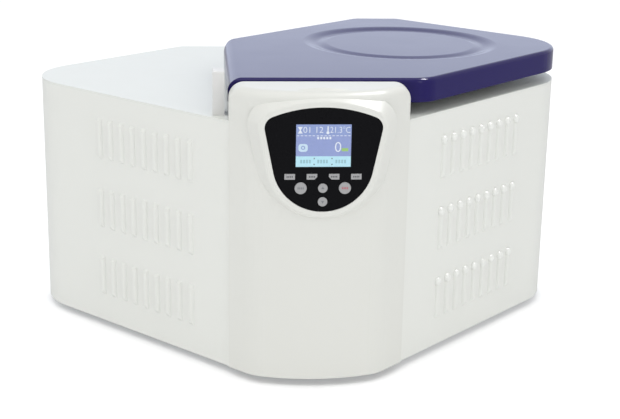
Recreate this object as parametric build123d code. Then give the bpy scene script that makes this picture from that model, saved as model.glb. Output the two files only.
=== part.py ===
from build123d import *
import math
import os

# A bench-top refrigerated centrifuge: a six-sided white cabinet with a moulded
# control column at the front and a blue lid over the bowl in its right half.
# Millimetres, +Z up, +X to the right, the column's face looks along -Y.
# In this script Y is measured from the column's face line and Z from the
# bench; write_node moves each piece so that the origin is the middle of the
# footprint.

# Cabinet
BODY_DEPTH = 562.0            # column face line to the back wall
BODY_HEIGHT = 315.0           # lower edge of the walls to the deck's top
FRONT_HALF = 61.8             # half of the front flat that the 45 degree walls start from
CORNER_X = 395.7              # sharp left and right corners, before rounding
CORNER_RADIUS = 95.0
BACK_CORNER_RADIUS = 20.0
FOOT_HEIGHT = 10.0
FOOT_RADIUS_LOW = 15.0
FOOT_RADIUS_HIGH = 18.0
FOOT_FRONT = (12.0, 72.0)     # beyond the front flat's half, and from the face line
FOOT_BACK = (30.0, 45.0)      # inside the back corner
SHEET = 1.2                   # steel sheet of the walls
DECK_THICK = 3.0
PAN_THICK = 2.0
PAN_FLANGE = 18.0
FIT = 0.3                     # gap between neighbouring covers
CUT = 1.0                     # how far a cutting shape runs past the face that it opens
SQRT2 = math.sqrt(2)

# Control column
COLUMN_WALL = 4.0
CORE_GAP = 6.0                # column's wall to the deck and the pan behind it
COLUMN_PROUD = 2.0            # step from the wall to the column's return
COLUMN_APEX = 1.0             # how far the bowed face stands before the face line
COLUMN_BOW = 216.0            # radius of the bowed face
COLUMN_CORNER = 52.0
COLUMN_SEAM_Y = 44.9          # the returns end here, halfway between the two
SEAM_SHIFT = 3.5              # the right return ends further back by this, the left further forward
HEAD_HEIGHT = 43.5            # above the deck
HEAD_BACK = 66.0
HEAD_CORNER = 19.0
HEAD_EDGE = 11.0

# Post between the column and the lid
POST_GAP = 4.5                # from the head's left side
POST_WIDTH = 14.5
POST_FRONT = 73.0
POST_BACK = 100.0
POST_HEIGHT = 54.0
POST_EDGE = 1.5

# Keypad shield on the column: heights are measured from the deck's top
KEYPAD_X = 3.6
SHIELD_APEX = 26.8
SHIELD_SHOULDER = 10.6
SHIELD_HALF = 71.0
SHIELD_FOOT = -98.9
SHIELD_THICK = 2.0
SHOULDER_RADIUS = 14.0
FOOT_RADIUS = 59.7            # round lower end, which the straight sides run into
BEZEL_WIDTH = 7.0
BEZEL_PROUD = 4.5             # front of the bezel before the column's face line
BEZEL_LIP = 1.0               # bezel above the shield
BEZEL_DEPTH = 14.0
BEZEL_TAPER = 34.0
BEZEL_EDGE = 4.0
LEDGE = 3.0
SCREEN_WIDTH = 65.0
SCREEN_HEIGHT = 51.2
SCREEN_CENTRE = -18.8
WINDOW_THICK = 1.6
MODULE_MARGIN = 3.0
MODULE_THICK = 6.0
KEY_GAP = 0.3
KEY_PROUD = 0.8
KEY_TRAVEL = 1.0
KEY_FLANGE = 1.0              # the flange behind the shield is wider than the cap by this all round
FLANGE_GAP = 0.2              # flange to the shield, and stem to the key board when pressed
FLANGE_THICK = 0.8
STEM_WIDTH = 3.0
SOFT_KEY_SIZE = (12.4, 6.8)
SOFT_KEY_PITCH = 26.2
SOFT_KEY_HEIGHT = -56.1
SOFT_KEY_CHAMFER = 3.2
ROUND_KEY_HEIGHT = -70.1
BIG_KEY_RADIUS = 7.1
SMALL_KEY_RADIUS = 5.6
DOWN_KEY_HEIGHT = -86.8
BOARD_THICK = 1.6
KEY_BOARD_GAP = 3.5           # shield's back to the key board
KEY_BOARD_TOP = 5.0           # above the soft keys' middle line
BOARD_POST = 4.0              # square posts that carry the key board
HIGH_POST = (37.5, -9.8)      # from the middle, and from the soft keys' line
LOW_POST = 14.0               # from the middle, level with the lowest key

# Control board behind the column
BRACKET_HALF = 62.0
BRACKET_Y = 40.0
BRACKET_SHEET = 1.5
BRACKET_FOOT = 22.0
BRACKET_DROP = 60.0           # bracket's top below the deck's
BOARD_HALF = 56.0
BOARD_LOW = 100.0
BOARD_HIGH = 225.0
STAND_OFF = 5.0
STAND_OFF_RADIUS = 2.5
STAND_OFF_INSET = 6.0
RELAY = (18.0, 14.0, 26.0)
RELAY_COUNT = 3
RELAY_PITCH = 26.0
CAPACITOR_RADIUS = 8.0
SOCKET_STRIP = (80.0, 8.0, 12.0)

# Louvres pressed in the two front walls
LOUVRE_ROWS = 3
LOUVRE_COLUMNS = 9
LOUVRE_PITCH = 20.9
LOUVRE_ROW_PITCH = 94.4
LOUVRE_LENGTH = 54.0
LOUVRE_TOP = -34.0            # first row's upper ends, from the deck's top
LOUVRE_ROUND = 6.5
LOUVRE_SUNK = 3.5
LOUVRE_END = 1.4              # slope of the louvre's ends
LOUVRE_LIP = 2.5              # free edge, from the louvre's middle
RIGHT_LOUVRE_START = 148.0    # along the wall, from its sharp front end
LEFT_LOUVRE_START = 129.0

# Lid
LID_FRONT = 76.0
LID_LEFT = -107.0
LID_DIAGONAL = 462.1          # Y minus X on the lid's back-left edge
LID_GAP = 15.6                # deck to the lid's lower edge
LID_HEIGHT = 29.7
LID_WALL = 3.0
LID_INSET = 0.5               # lid inside the cabinet's outline
LID_EDGE = 5.0
LID_FRONT_RADIUS = 40.0
LID_SIDE_RADIUS = 60.0
LID_SMALL_RADIUS = 22.0
LID_NEAR_RADIUS = 8.0         # corner beside the column's head
LID_ROLL = 16.0               # the left side is rolled over, as the head's corner is
RING_OUTER = 136.0            # the groove round the bowl: outer edge, deepest line, inner edge
RING_RADIUS = 115.0
RING_INNER = 102.0
RING_DEPTH = 3.5
RING_SUNK = 1.6               # the disc inside the groove, below the lid's top
LINER_THICK = 1.5
LINER_RISE = 1.0              # liner above the lid's lower edge
PLUG_RADIUS = 119.0
PLUG_DROP = 7.0
PLUG_DRAFT = 3.0
FOAM_GAP = 3.5                # foam below the shell's inside, and clear of its walls
FOAM_SIDE = 2.0

# Bowl, rotor and drive
BOWL_X = 140.4
BOWL_Y = 341.3
BOWL_RADIUS = 125.0
BOWL_DEPTH = 163.0
BOWL_WALL = 1.2
BOWL_FLANGE = 12.0
BOWL_BEVEL = 22.0             # coned corner between the wall and the floor
SHAFT_HOLE = 20.0
SEAL_RADIUS = 28.0
SEAL_LIP = 3.0                # seal above the bowl's floor, and clear of the shaft
GASKET_WIDTH = 9.0
GASKET_SET = 2.0              # gasket back from the bowl's wall
GASKET_SLOPE = 3.0
INSULATION_THICK = 28.0
INSULATION_FLOOR = 22.0
INSULATION_BORE = 4.0         # wider than the seal
JACKET_GAP = 0.4
JACKET_THICK = 4.0
JACKET_DROP = 30.0            # jacket's top below the deck's
MOTOR_RADIUS = 58.0
MOTOR_SHOULDER = 8.0
MOTOR_FLOOR = 10.0
MOTOR_BASE = 36.0             # underside of the motor above the bench
MOTOR_TOP_GAP = 4.0
MOTOR_PLATE = 4.0
BEARING_RADIUS = 16.0
BEARING_WIDTH = 10.0
DAMPER_RADIUS = 13.0
DAMPER_SPREAD = 68.0
SHAFT_RADIUS = 6.0
SHAFT_GAP = 0.08
COLLAR_STEP = 5.0
COLLAR_HEIGHT = 6.0
CONE_STEP = 2.0               # widening of the cone seat at its lower end
ROTOR_RADIUS = 104.0
ROTOR_RISE = 15.0             # rotor above the bowl's floor
ROTOR_HEIGHT = 86.0
ROTOR_TOP_RADIUS = 78.0
ROTOR_HOLLOW = 16.0
ROTOR_WEB_RADIUS = 72.0
ROTOR_SKIRT = 20.0
HUB_RADIUS = 26.0
HUB_DROP = 2.0
MOUTH_LIP = 14.0
MOUTH_DEPTH = 6.0
COVER_HEIGHT = 9.0
COVER_INSET = 4.0
COVER_RIM = 4.0
COVER_HOLE = 9.0
KNOB_RADIUS = 17.0
KNOB_HEIGHT = 18.0
KNOB_SIDES = 10
KNOB_EDGE = 2.0
KNOB_STEM = 7.0

# Lid hinge, with its axis along X
HINGE_Y = 554.0
HINGE_Z = 10.0                # above the deck's top
HINGE_X = 133.0
HINGE_EAR = 4.0
HINGE_EAR_RADIUS = 6.0
HINGE_KNUCKLE = 44.0
HINGE_KNUCKLE_RADIUS = 5.0
HINGE_PIN_RADIUS = 3.0
HINGE_PLATE = 2.0
HINGE_BASE_REACH = 30.0
HINGE_LEAF_REACH = 46.0

# Lid lock
LOCK_X = 22.0
LOCK_Y = 98.0
STRIKER_THICK = 3.0
STRIKER_WIDTH = 16.0
STRIKER_TIP = 9.0             # below the bolt's axis
STRIKER_FOOT = 14.0
STRIKER_SHEET = 2.0
BOLT_RADIUS = 4.0
BOLT_LENGTH = 24.0
BOLT_DROP = 9.0               # bolt's axis below the deck's top
LOCK_WALL = 3.0
LOCK_FRONT = 20.0             # case to the left and to the right of the striker
LOCK_REACH = 52.0
LOCK_CASE = 30.0
LOCK_BORE = 50.0

# Refrigeration
COMPRESSOR_X = -185.0
COMPRESSOR_Y = 315.0
COMPRESSOR_RADIUS = 74.0
COMPRESSOR_HEIGHT = 176.0
COMPRESSOR_PLATE = 3.0
COMPRESSOR_MARGIN = 10.0
BUSH_RADIUS = 11.0
BUSH_HEIGHT = 11.0
CONDENSER_X = -60.0
CONDENSER_WIDTH = 150.0
CONDENSER_HEIGHT = 190.0
CONDENSER_THICK = 30.0
CONDENSER_GAP = 3.0           # condenser to the back panel
END_PLATE = 2.0
FIN_COUNT = 14
FIN_THICK = 1.0
FIN_MARGIN = 8.0
TUBE_COUNT = 4
TUBE_START = 25.0
TUBE_PITCH = 46.0
TUBE_HALF = 2.0
SHROUD_GAP = 3.0
SHROUD_SHEET = 2.0
RING_LENGTH = 20.0
ARM = 3.5
FAN_RADIUS = 62.0
FAN_CLEARANCE = 2.5
FAN_BLADES = 5
FAN_PITCH = 32.0
BLADE_THICK = 1.6
BLADE_WIDTH = 22.0
FAN_HUB = 14.0
FAN_HUB_RADIUS = 16.0
FAN_SHAFT = 10.0
FAN_SHAFT_RADIUS = 2.5
FAN_MOTOR_RADIUS = 20.0
FAN_MOTOR_LENGTH = 26.0
PIPE_RADIUS = 4.0
PIPE_RISE = 40.0
PIPE_SIDE = 24.0
LIQUID_RADIUS = 3.0
LIQUID_SIDE = 30.0
LIQUID_TURN = 40.0
DRIER_RADIUS = 11.0
DRIER_LENGTH = 92.0
DRIER_RISE = 40.0             # drier above the pan's floor
DRIVE_CASE = (116.0, 74.0, 70.0)
DRIVE_Y = 84.0
SINK_FINS = 9
SINK_PITCH = 13.0
SINK_FIN = 2.4
SINK_HEIGHT = 22.0

# Back of the cabinet
BACK_HALF = 140.0             # half of the opening between the side walls
BACK_LAP = 16.0
VENT_ROWS = 9
VENT_PITCH = 20.0
VENT_SLOT = (66.0, 5.0)
INLET_X = 104.0
INLET_Z = 66.0
INLET_BODY = (27.0, 20.0, 24.0)
INLET_FLANGE = (48.0, 26.0)
INLET_SOCKET = (23.0, 16.0, 18.0)
PIN = (2.0, 4.0, 12.0)
PIN_SPREAD = 7.0
PIN_LEVEL = 3.0
SWITCH_Z = 112.0
SWITCH_BODY = (22.0, 30.0, 22.0)
SWITCH_RIM = 4.0
SWITCH_WELL = (18.0, 26.0, 14.0)
ROCKER_HALF = 12.0
ROCKER_KEEL = 4.0
ROCKER_LOW = 1.0              # pressed end and raised end above the pivot, middle below it
ROCKER_HIGH = 4.0
ROCKER_DIP = 2.0
ROCKER_DEEP = 6.0
ROCKER_PIVOT = 3.5            # below the panel's face
ROCKER_GAP = 0.4
SCREW_HEAD = 2.2
SCREW_RADIUS = 4.0
SHANK_RADIUS = 2.0
SCREW_HEIGHTS = (0.12, 0.5, 0.88)   # parts of the walls' height

# What follows is worked out from the sizes above
DECK_Z = FOOT_HEIGHT + BODY_HEIGHT
SIDE_Y = CORNER_X - FRONT_HALF
COLUMN_LINE = FRONT_HALF + COLUMN_PROUD * SQRT2
RIGHT_SEAM = COLUMN_SEAM_Y + SEAM_SHIFT
LEFT_SEAM = COLUMN_SEAM_Y - SEAM_SHIFT
HEAD_RIGHT = RIGHT_SEAM + COLUMN_LINE
HEAD_LEFT = -LEFT_SEAM - COLUMN_LINE
BACK_CORNER_X = CORNER_X - (BODY_DEPTH - SIDE_Y)
FRONT_REACH = BEZEL_PROUD
BACK_REACH = BODY_DEPTH + SCREW_HEAD
ORIGIN_Y = (BACK_REACH - FRONT_REACH) / 2
SHIELD_FRONT = BEZEL_LIP - BEZEL_PROUD
SHIELD_BACK = SHIELD_FRONT + SHIELD_THICK
LID_BASE = DECK_Z + LID_GAP
LID_TOP = LID_BASE + LID_HEIGHT
LINER_Z = LID_BASE + LINER_RISE
BOWL_FLOOR = DECK_Z - BOWL_DEPTH
MOTOR_TOP = BOWL_FLOOR - BOWL_WALL - INSULATION_FLOOR - MOTOR_TOP_GAP
ROTOR_BASE = BOWL_FLOOR + ROTOR_RISE
ROTOR_TOP = ROTOR_BASE + ROTOR_HEIGHT
PAN_TOP = FOOT_HEIGHT + PAN_THICK
BACK_INNER = BODY_DEPTH - SHEET
CONDENSER_BACK = BACK_INNER - SHEET - CONDENSER_GAP
SHROUD_BACK = CONDENSER_BACK - CONDENSER_THICK - SHROUD_GAP
FAN_FACE = SHROUD_BACK - RING_LENGTH + SHROUD_SHEET
DRIER_BASE = PAN_TOP + DRIER_RISE


def write_node(name, shape):
    """Write one piece, moved so that the footprint's middle is the origin."""
    export_step(Pos(0, -ORIGIN_Y, 0) * shape, f"parts/{name}.step")


def nearest_vertex(sketch, point):
    """The vertex of a plan outline that lies nearest to a point."""
    return min(sketch.vertices(), key=lambda v: math.hypot(v.X - point[0], v.Y - point[1]))


def rounded(points, radii):
    """A polygon whose corners have their own radii."""
    outline = Polygon(*points, align=None)
    for point, radius in zip(points, radii):
        if radius:
            outline = fillet(nearest_vertex(outline, point), radius)
    return outline


def prism(sketch, low, high):
    """A plan outline as a solid between two heights."""
    return extrude(Pos(0, 0, low) * sketch, amount=high - low)


def block(x, y, z):
    """A box given by its two ends along each axis."""
    low = (x[0], y[0], z[0])
    return Pos(*low) * Box(x[1] - x[0], y[1] - y[0], z[1] - z[0], align=Align.MIN)


def disc(x, y, radius, low, high):
    """An upright cylinder between two heights."""
    return Pos(x, y, low) * Cylinder(radius, high - low, align=(Align.CENTER, Align.CENTER, Align.MIN))


def rod(x, y, z, radius, length, direction):
    """A cylinder that starts at a point and runs along a direction."""
    return Plane(origin=(x, y, z), z_dir=direction) * Cylinder(
        radius, length, align=(Align.CENTER, Align.CENTER, Align.MIN)
    )


def turned(x, y, profile):
    """A solid turned from (radius, height) points about an upright axis."""
    section = Plane.XZ * Polygon(*profile, align=None)
    return Pos(x, y, 0) * revolve(section, Axis.Z)


# Plan outlines


def cabinet_outline(inset=0.0):
    """The six-sided plan of the walls, moved inwards by an inset."""
    points = [(FRONT_HALF, 0), (CORNER_X, SIDE_Y), (BACK_CORNER_X, BODY_DEPTH)]
    points += [(-x, y) for x, y in reversed(points)]
    radii = [0, CORNER_RADIUS, BACK_CORNER_RADIUS, BACK_CORNER_RADIUS, CORNER_RADIUS, 0]
    outline = rounded(points, radii)
    return offset(outline, amount=-inset) if inset else outline


def column_outline(inset, back):
    """The column's plan: a bowed face with 45 degree returns that end at a back line."""
    line = COLUMN_LINE - inset * SQRT2
    centre = COLUMN_BOW - COLUMN_APEX
    radius = COLUMN_BOW - inset
    half = centre - line
    meet = (half - math.sqrt(half**2 - 2 * (line**2 + centre**2 - radius**2))) / 2
    knees = [(meet + line, meet), (-meet - line, meet)]
    right, left = back + SEAM_SHIFT, back - SEAM_SHIFT
    ends = [(right + line, right), (-left - line, left)]
    edges = [
        ThreePointArc(knees[1], (0, centre - radius), knees[0]),
        Line(knees[0], ends[0]),
        Line(ends[0], ends[1]),
        Line(ends[1], knees[1]),
    ]
    outline = make_face(Wire(edges))
    for knee in knees:
        outline = fillet(nearest_vertex(outline, knee), COLUMN_CORNER - inset)
    return outline


def core_outline(inset):
    """The plan of the pan and the deck, which fit behind the column."""
    quarter = Rectangle(CORNER_X, CORNER_X, align=(Align.MIN, Align.MAX))
    front_zone = Pos(0, RIGHT_SEAM + FIT) * quarter + Pos(-CORNER_X, LEFT_SEAM + FIT) * quarter
    behind_column = column_outline(COLUMN_WALL + CORE_GAP, COLUMN_SEAM_Y + 3 * SEAM_SHIFT)
    return cabinet_outline(inset) - (front_zone - behind_column)


def lid_outline(inset):
    """The lid's plan: flush with the cabinet's right side and back."""
    reach = inset * SQRT2
    diagonal = FRONT_HALF - reach
    front, left = LID_FRONT + inset, LID_LEFT + inset
    back = BODY_DEPTH - inset
    corner = CORNER_X - reach
    slant = LID_DIAGONAL - reach
    points = [
        (left, front),
        (front + diagonal, front),
        (corner, SIDE_Y),
        (corner + SIDE_Y - back, back),
        (back - slant, back),
        (left, left + slant),
    ]
    radii = [
        LID_NEAR_RADIUS - inset,
        LID_FRONT_RADIUS - inset,
        CORNER_RADIUS - inset,
        BACK_CORNER_RADIUS - inset,
        LID_SMALL_RADIUS - inset,
        LID_SIDE_RADIUS - inset,
    ]
    return rounded(points, radii)


def shield_outline(grow=0.0):
    """The keypad shield's outline, drawn with X across and Y up from the deck's top."""
    centre = SHIELD_FOOT + FOOT_RADIUS
    rise = SHIELD_SHOULDER - centre
    turn = math.atan2(rise, SHIELD_HALF) - math.acos(FOOT_RADIUS / math.hypot(SHIELD_HALF, rise))
    waist = (FOOT_RADIUS * math.cos(turn), centre + FOOT_RADIUS * math.sin(turn))
    shoulders = [(SHIELD_HALF, SHIELD_SHOULDER), (-SHIELD_HALF, SHIELD_SHOULDER)]
    edges = [
        ThreePointArc(shoulders[1], (0, SHIELD_APEX), shoulders[0]),
        Line(shoulders[0], waist),
        ThreePointArc(waist, (0, SHIELD_FOOT), (-waist[0], waist[1])),
        Line((-waist[0], waist[1]), shoulders[1]),
    ]
    outline = make_face(Wire(edges))
    for shoulder in shoulders:
        outline = fillet(nearest_vertex(outline, shoulder), SHOULDER_RADIUS)
    return offset(outline, amount=grow) if grow else outline


def on_face(sketch, front, back, taper=0.0):
    """A keypad sketch as a solid between two depths."""
    plane = Plane(origin=(KEYPAD_X, front, DECK_Z), x_dir=(1, 0, 0), z_dir=(0, 1, 0))
    flipped = mirror(sketch, about=Plane.XZ)
    return extrude(plane * flipped, amount=back - front, taper=taper)


# Cabinet


def louvre(along, top):
    """One pressed louvre and the pocket behind it, on a wall whose outside is +Z."""
    middle = top - LOUVRE_LENGTH / 2
    rise = LOUVRE_ROUND - LOUVRE_SUNK
    half = LOUVRE_LENGTH / 2
    tip = half - LOUVRE_END * rise
    barrel = Pos(0, 0, -LOUVRE_SUNK) * Rot(90, 0, 0) * Cylinder(LOUVRE_ROUND, LOUVRE_LENGTH)
    side_view = [(-half, -SHEET / 2), (half, -SHEET / 2), (half, 0), (tip, rise), (-tip, rise), (-half, 0)]
    keep = extrude(Plane.YZ * Polygon(*side_view, align=None), amount=-LOUVRE_ROUND)
    keep += extrude(Plane.YZ * Polygon(*side_view, align=None), amount=LOUVRE_LIP)
    width = LOUVRE_ROUND / 2 + LOUVRE_LIP
    pocket = Pos(LOUVRE_LIP, 0, -2 * SHEET) * Box(
        width, 2 * tip, 2 * SHEET + rise / 2, align=(Align.MAX, Align.CENTER, Align.MIN)
    )
    place = Pos(along, middle, 0)
    return place * (barrel & keep), place * pocket


def side_panel(louvre_start, seam):
    """The right-hand wall: from the column round the corner to the back, with its louvres."""
    ring = prism(cabinet_outline() - cabinet_outline(SHEET), FOOT_HEIGHT, DECK_Z - DECK_THICK)
    half = block((0, 2 * CORNER_X), (seam + FIT, 2 * BODY_DEPTH), (0, DECK_Z))
    opening = block((0, BACK_HALF), (BODY_DEPTH / 2 + SIDE_Y / 2, 2 * BODY_DEPTH), (0, DECK_Z))
    panel = (ring & half) - opening
    wall = Plane(origin=(FRONT_HALF, 0, DECK_Z), x_dir=(1, 1, 0), z_dir=(1, -1, 0))
    bulges, pockets = [], []
    for row in range(LOUVRE_ROWS):
        for column in range(LOUVRE_COLUMNS):
            bulge, pocket = louvre(
                louvre_start + column * LOUVRE_PITCH, LOUVRE_TOP - row * LOUVRE_ROW_PITCH
            )
            bulges.append(wall * bulge)
            pockets.append(wall * pocket)
    return (panel + bulges) - pockets - [screw[1] for screw in back_screws()]


def back_screws():
    """Each hexagon-headed back screw, and the hole that it needs."""
    hexagon = extrude(RegularPolygon(SCREW_RADIUS, 6), amount=SCREW_HEAD)
    screws = []
    for side in (1, -1):
        for height in SCREW_HEIGHTS:
            x = side * (BACK_HALF + BACK_LAP / 2)
            z = FOOT_HEIGHT + height * BODY_HEIGHT
            head = Plane(origin=(x, BODY_DEPTH, z), z_dir=(0, 1, 0)) * hexagon
            shank = rod(x, BODY_DEPTH, z, SHANK_RADIUS, 4 * SHEET, (0, -1, 0))
            hole = rod(x, BODY_DEPTH + FIT, z, SHANK_RADIUS + FIT, 8 * SHEET, (0, -1, 0))
            screws.append((head + shank, hole))
    return screws


def back_panel():
    """The back wall behind the side walls' edges: air slots, inlet and switch holes."""
    half = BACK_HALF + BACK_LAP
    low, high = PAN_TOP, DECK_Z - DECK_THICK
    plate = block((-half, half), (BACK_INNER - SHEET, BACK_INNER), (low + FIT, high - FIT))
    cuts = [inlet_body(FIT), switch_body(FIT)]
    wide, tall = VENT_SLOT[0] / 2, VENT_SLOT[1] / 2
    for row in range(VENT_ROWS):
        for column in (-1, 1):
            x = CONDENSER_X + column * (wide + tall)
            z = PAN_TOP + CONDENSER_HEIGHT / 8 + row * VENT_PITCH
            slot = block((x - wide, x + wide), (BACK_INNER - 2 * SHEET, BODY_DEPTH), (z - tall, z + tall))
            cuts.append(slot)
    return plate - cuts - [screw[1] for screw in back_screws()]


def base_pan():
    """The floor tray with its upturned edge."""
    tray = prism(core_outline(SHEET + FIT), FOOT_HEIGHT, PAN_TOP + PAN_FLANGE)
    hollow = prism(core_outline(SHEET + FIT + PAN_THICK), PAN_TOP, DECK_Z)
    behind = block((-CORNER_X, CORNER_X), (BACK_INNER - 2 * SHEET, BODY_DEPTH), (PAN_TOP, DECK_Z))
    return tray - hollow - behind


def foot_places():
    """Six places under the pan, one near each corner."""
    front = (FRONT_HALF + FOOT_FRONT[0], FOOT_FRONT[1])
    side = (CORNER_X - CORNER_RADIUS - FOOT_RADIUS_HIGH, SIDE_Y)
    back = (BACK_CORNER_X - FOOT_BACK[0], BODY_DEPTH - FOOT_BACK[1])
    return [(sign * x, y) for x, y in (front, side, back) for sign in (1, -1)]


def rubber_feet():
    """Six round feet."""
    profile = [(0, 0), (FOOT_RADIUS_LOW, 0), (FOOT_RADIUS_HIGH, FOOT_HEIGHT), (0, FOOT_HEIGHT)]
    return Compound([turned(x, y, profile).solid() for x, y in foot_places()])


def top_deck():
    """The flat top with the bowl's hole and the slot for the lid's striker."""
    deck = prism(core_outline(0), DECK_Z - DECK_THICK, DECK_Z)
    hole = disc(BOWL_X, BOWL_Y, BOWL_RADIUS + BOWL_WALL + 2 * FIT, 0, 2 * DECK_Z)
    slot = block(
        (LOCK_X - 4 * FIT - STRIKER_THICK, LOCK_X + 4 * FIT + STRIKER_THICK),
        (LOCK_Y - STRIKER_WIDTH, LOCK_Y + STRIKER_WIDTH),
        (0, 2 * DECK_Z),
    )
    return deck - hole - slot


def side_post():
    """The short post that stands on the deck between the column and the lid."""
    right = HEAD_LEFT - POST_GAP
    post = block((right - POST_WIDTH, right), (POST_FRONT, POST_BACK), (DECK_Z, DECK_Z + POST_HEIGHT))
    return fillet(post.edges().group_by(Axis.Z)[-1], POST_EDGE)


# Control column


def head_block(inset):
    """The solid shape of the head, moved inwards by an inset, with its rolled crown."""
    top = DECK_Z + HEAD_HEIGHT - inset
    left, right, back = HEAD_LEFT + inset, HEAD_RIGHT - inset, HEAD_BACK - inset
    seam = COLUMN_SEAM_Y + inset * (SQRT2 - 1)
    behind = Polygon(
        (left, seam - SEAM_SHIFT),
        (0, seam / 2),
        (right, seam + SEAM_SHIFT),
        (right, back),
        (left, back),
        align=None,
    )
    plan = column_outline(inset, seam) + behind
    front_view = Pos((left + right) / 2, 0) * Rectangle(right - left, 2 * top)
    corners = front_view.vertices().group_by(Axis.Y)[-1]
    front_view = fillet(corners, HEAD_CORNER - inset)
    cutter = extrude(Plane.XZ * front_view, amount=BODY_DEPTH, both=True)
    head = prism(plan, DECK_Z, top) & cutter
    return fillet(crown_edges(head, back), HEAD_EDGE - inset)


def crown_edges(head, back):
    """The head's front edges: along the top and down both rounded corners."""
    crown = []
    for edge in head.edges():
        box = edge.bounding_box()
        upright = box.size.X < FIT and box.size.Z < FIT
        if box.min.Z > DECK_Z + HEAD_HEIGHT - HEAD_CORNER - FIT and box.max.Y < back - FIT and not upright:
            crown.append(edge)
    return crown


def control_column():
    """The moulded front cover: bowed face, returns, head and the raised bezel."""
    outer = prism(column_outline(0, COLUMN_SEAM_Y), FOOT_HEIGHT, DECK_Z) + head_block(0)
    bezel = on_face(shield_outline(BEZEL_WIDTH), -BEZEL_PROUD, BEZEL_DEPTH, taper=-BEZEL_TAPER)
    bezel = fillet(bezel.edges().group_by(Axis.Y)[0], BEZEL_EDGE)
    inner = prism(column_outline(COLUMN_WALL, COLUMN_SEAM_Y + 2 * FIT), 0, DECK_Z)
    inner += head_block(COLUMN_WALL)
    recess = on_face(shield_outline(FIT), -2 * BEZEL_PROUD, SHIELD_BACK)
    window = on_face(shield_outline(-LEDGE), -2 * BEZEL_PROUD, HEAD_BACK / 2)
    return outer + bezel - inner - recess - window


def key_sketches():
    """Each key's outline by name, on the keypad's face."""
    keys = {}
    width, height = SOFT_KEY_SIZE
    for number in range(4):
        x = (number - 1.5) * SOFT_KEY_PITCH
        cap = Rectangle(width, height)
        if number in (1, 2):
            sign = 1 if number == 1 else -1
            tip = Polygon(
                (sign * width / 2, -height / 2),
                (sign * (width / 2 - SOFT_KEY_CHAMFER), -height / 2),
                (sign * width / 2, -height / 2 + SOFT_KEY_CHAMFER),
                align=None,
            )
            cap = cap - tip
        keys[f"soft_key_{number + 1}"] = Pos(x, SOFT_KEY_HEIGHT) * cap
    keys["start_key"] = Pos(-SOFT_KEY_PITCH, ROUND_KEY_HEIGHT) * Circle(BIG_KEY_RADIUS)
    keys["stop_key"] = Pos(SOFT_KEY_PITCH, ROUND_KEY_HEIGHT) * Circle(BIG_KEY_RADIUS)
    keys["up_key"] = Pos(0, ROUND_KEY_HEIGHT) * Circle(SMALL_KEY_RADIUS)
    keys["down_key"] = Pos(0, DOWN_KEY_HEIGHT) * Circle(SMALL_KEY_RADIUS)
    return keys


def screen_place():
    """The middle of the screen on the keypad's face."""
    return Pos(0, SCREEN_CENTRE)


def keypad_shield():
    """The black shield: screen opening, key holes and four posts for the key board."""
    sketch = shield_outline() - screen_place() * Rectangle(SCREEN_WIDTH, SCREEN_HEIGHT)
    sketch -= [offset(cap, amount=KEY_GAP, kind=Kind.INTERSECTION) for cap in key_sketches().values()]
    shield = on_face(sketch, SHIELD_FRONT, SHIELD_BACK)
    posts = [Pos(x, z) * Rectangle(BOARD_POST, BOARD_POST) for x, z in board_posts()]
    return shield + [on_face(post, SHIELD_BACK, SHIELD_BACK + KEY_BOARD_GAP) for post in posts]


def board_posts():
    """Where the key board is carried."""
    high = (HIGH_POST[0], SOFT_KEY_HEIGHT + HIGH_POST[1])
    low = (LOW_POST, DOWN_KEY_HEIGHT)
    return [(side * x, z) for x, z in (high, low) for side in (1, -1)]


def key(sketch):
    """One key: a cap through the shield, a square flange behind it and a stem."""
    flange_front = SHIELD_BACK + FLANGE_GAP
    size = sketch.bounding_box().size
    place = Pos(sketch.bounding_box().center().X, sketch.bounding_box().center().Y)
    cap = on_face(sketch, SHIELD_FRONT - KEY_PROUD, flange_front)
    plate = place * Rectangle(size.X + 2 * KEY_FLANGE, size.Y + 2 * KEY_FLANGE)
    stem_end = SHIELD_BACK + KEY_BOARD_GAP - KEY_TRAVEL - FLANGE_GAP
    stem = on_face(place * Rectangle(STEM_WIDTH, STEM_WIDTH), flange_front, stem_end)
    return cap + on_face(plate, flange_front, flange_front + FLANGE_THICK) + stem


def key_board():
    """The small board behind the keys."""
    start = SHIELD_BACK + KEY_BOARD_GAP
    below_screen = Pos(0, SOFT_KEY_HEIGHT + KEY_BOARD_TOP) * Rectangle(
        2 * SHIELD_HALF, SHIELD_HALF, align=(Align.CENTER, Align.MAX)
    )
    outline = shield_outline(-LEDGE - BOARD_THICK) & below_screen
    return on_face(outline, start, start + BOARD_THICK)


def display_window():
    """The clear plate in the shield's screen opening."""
    sketch = screen_place() * Rectangle(SCREEN_WIDTH - FIT, SCREEN_HEIGHT - FIT)
    return on_face(sketch, SHIELD_FRONT + 0.1, SHIELD_FRONT + 0.1 + WINDOW_THICK)


def display_module():
    """The screen's metal-framed panel behind the shield."""
    size = (SCREEN_WIDTH + 2 * MODULE_MARGIN, SCREEN_HEIGHT + 2 * MODULE_MARGIN)
    return on_face(screen_place() * Rectangle(*size), SHIELD_BACK, SHIELD_BACK + MODULE_THICK)


def board_bracket():
    """The bent sheet behind the column that carries the control board."""
    face = BRACKET_Y + BRACKET_SHEET
    upright = block((-BRACKET_HALF, BRACKET_HALF), (BRACKET_Y, face), (PAN_TOP, DECK_Z - BRACKET_DROP))
    y = (face, BRACKET_Y + BRACKET_FOOT)
    foot = block((-BRACKET_HALF, BRACKET_HALF), y, (PAN_TOP, PAN_TOP + BRACKET_SHEET))
    return upright + foot


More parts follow.
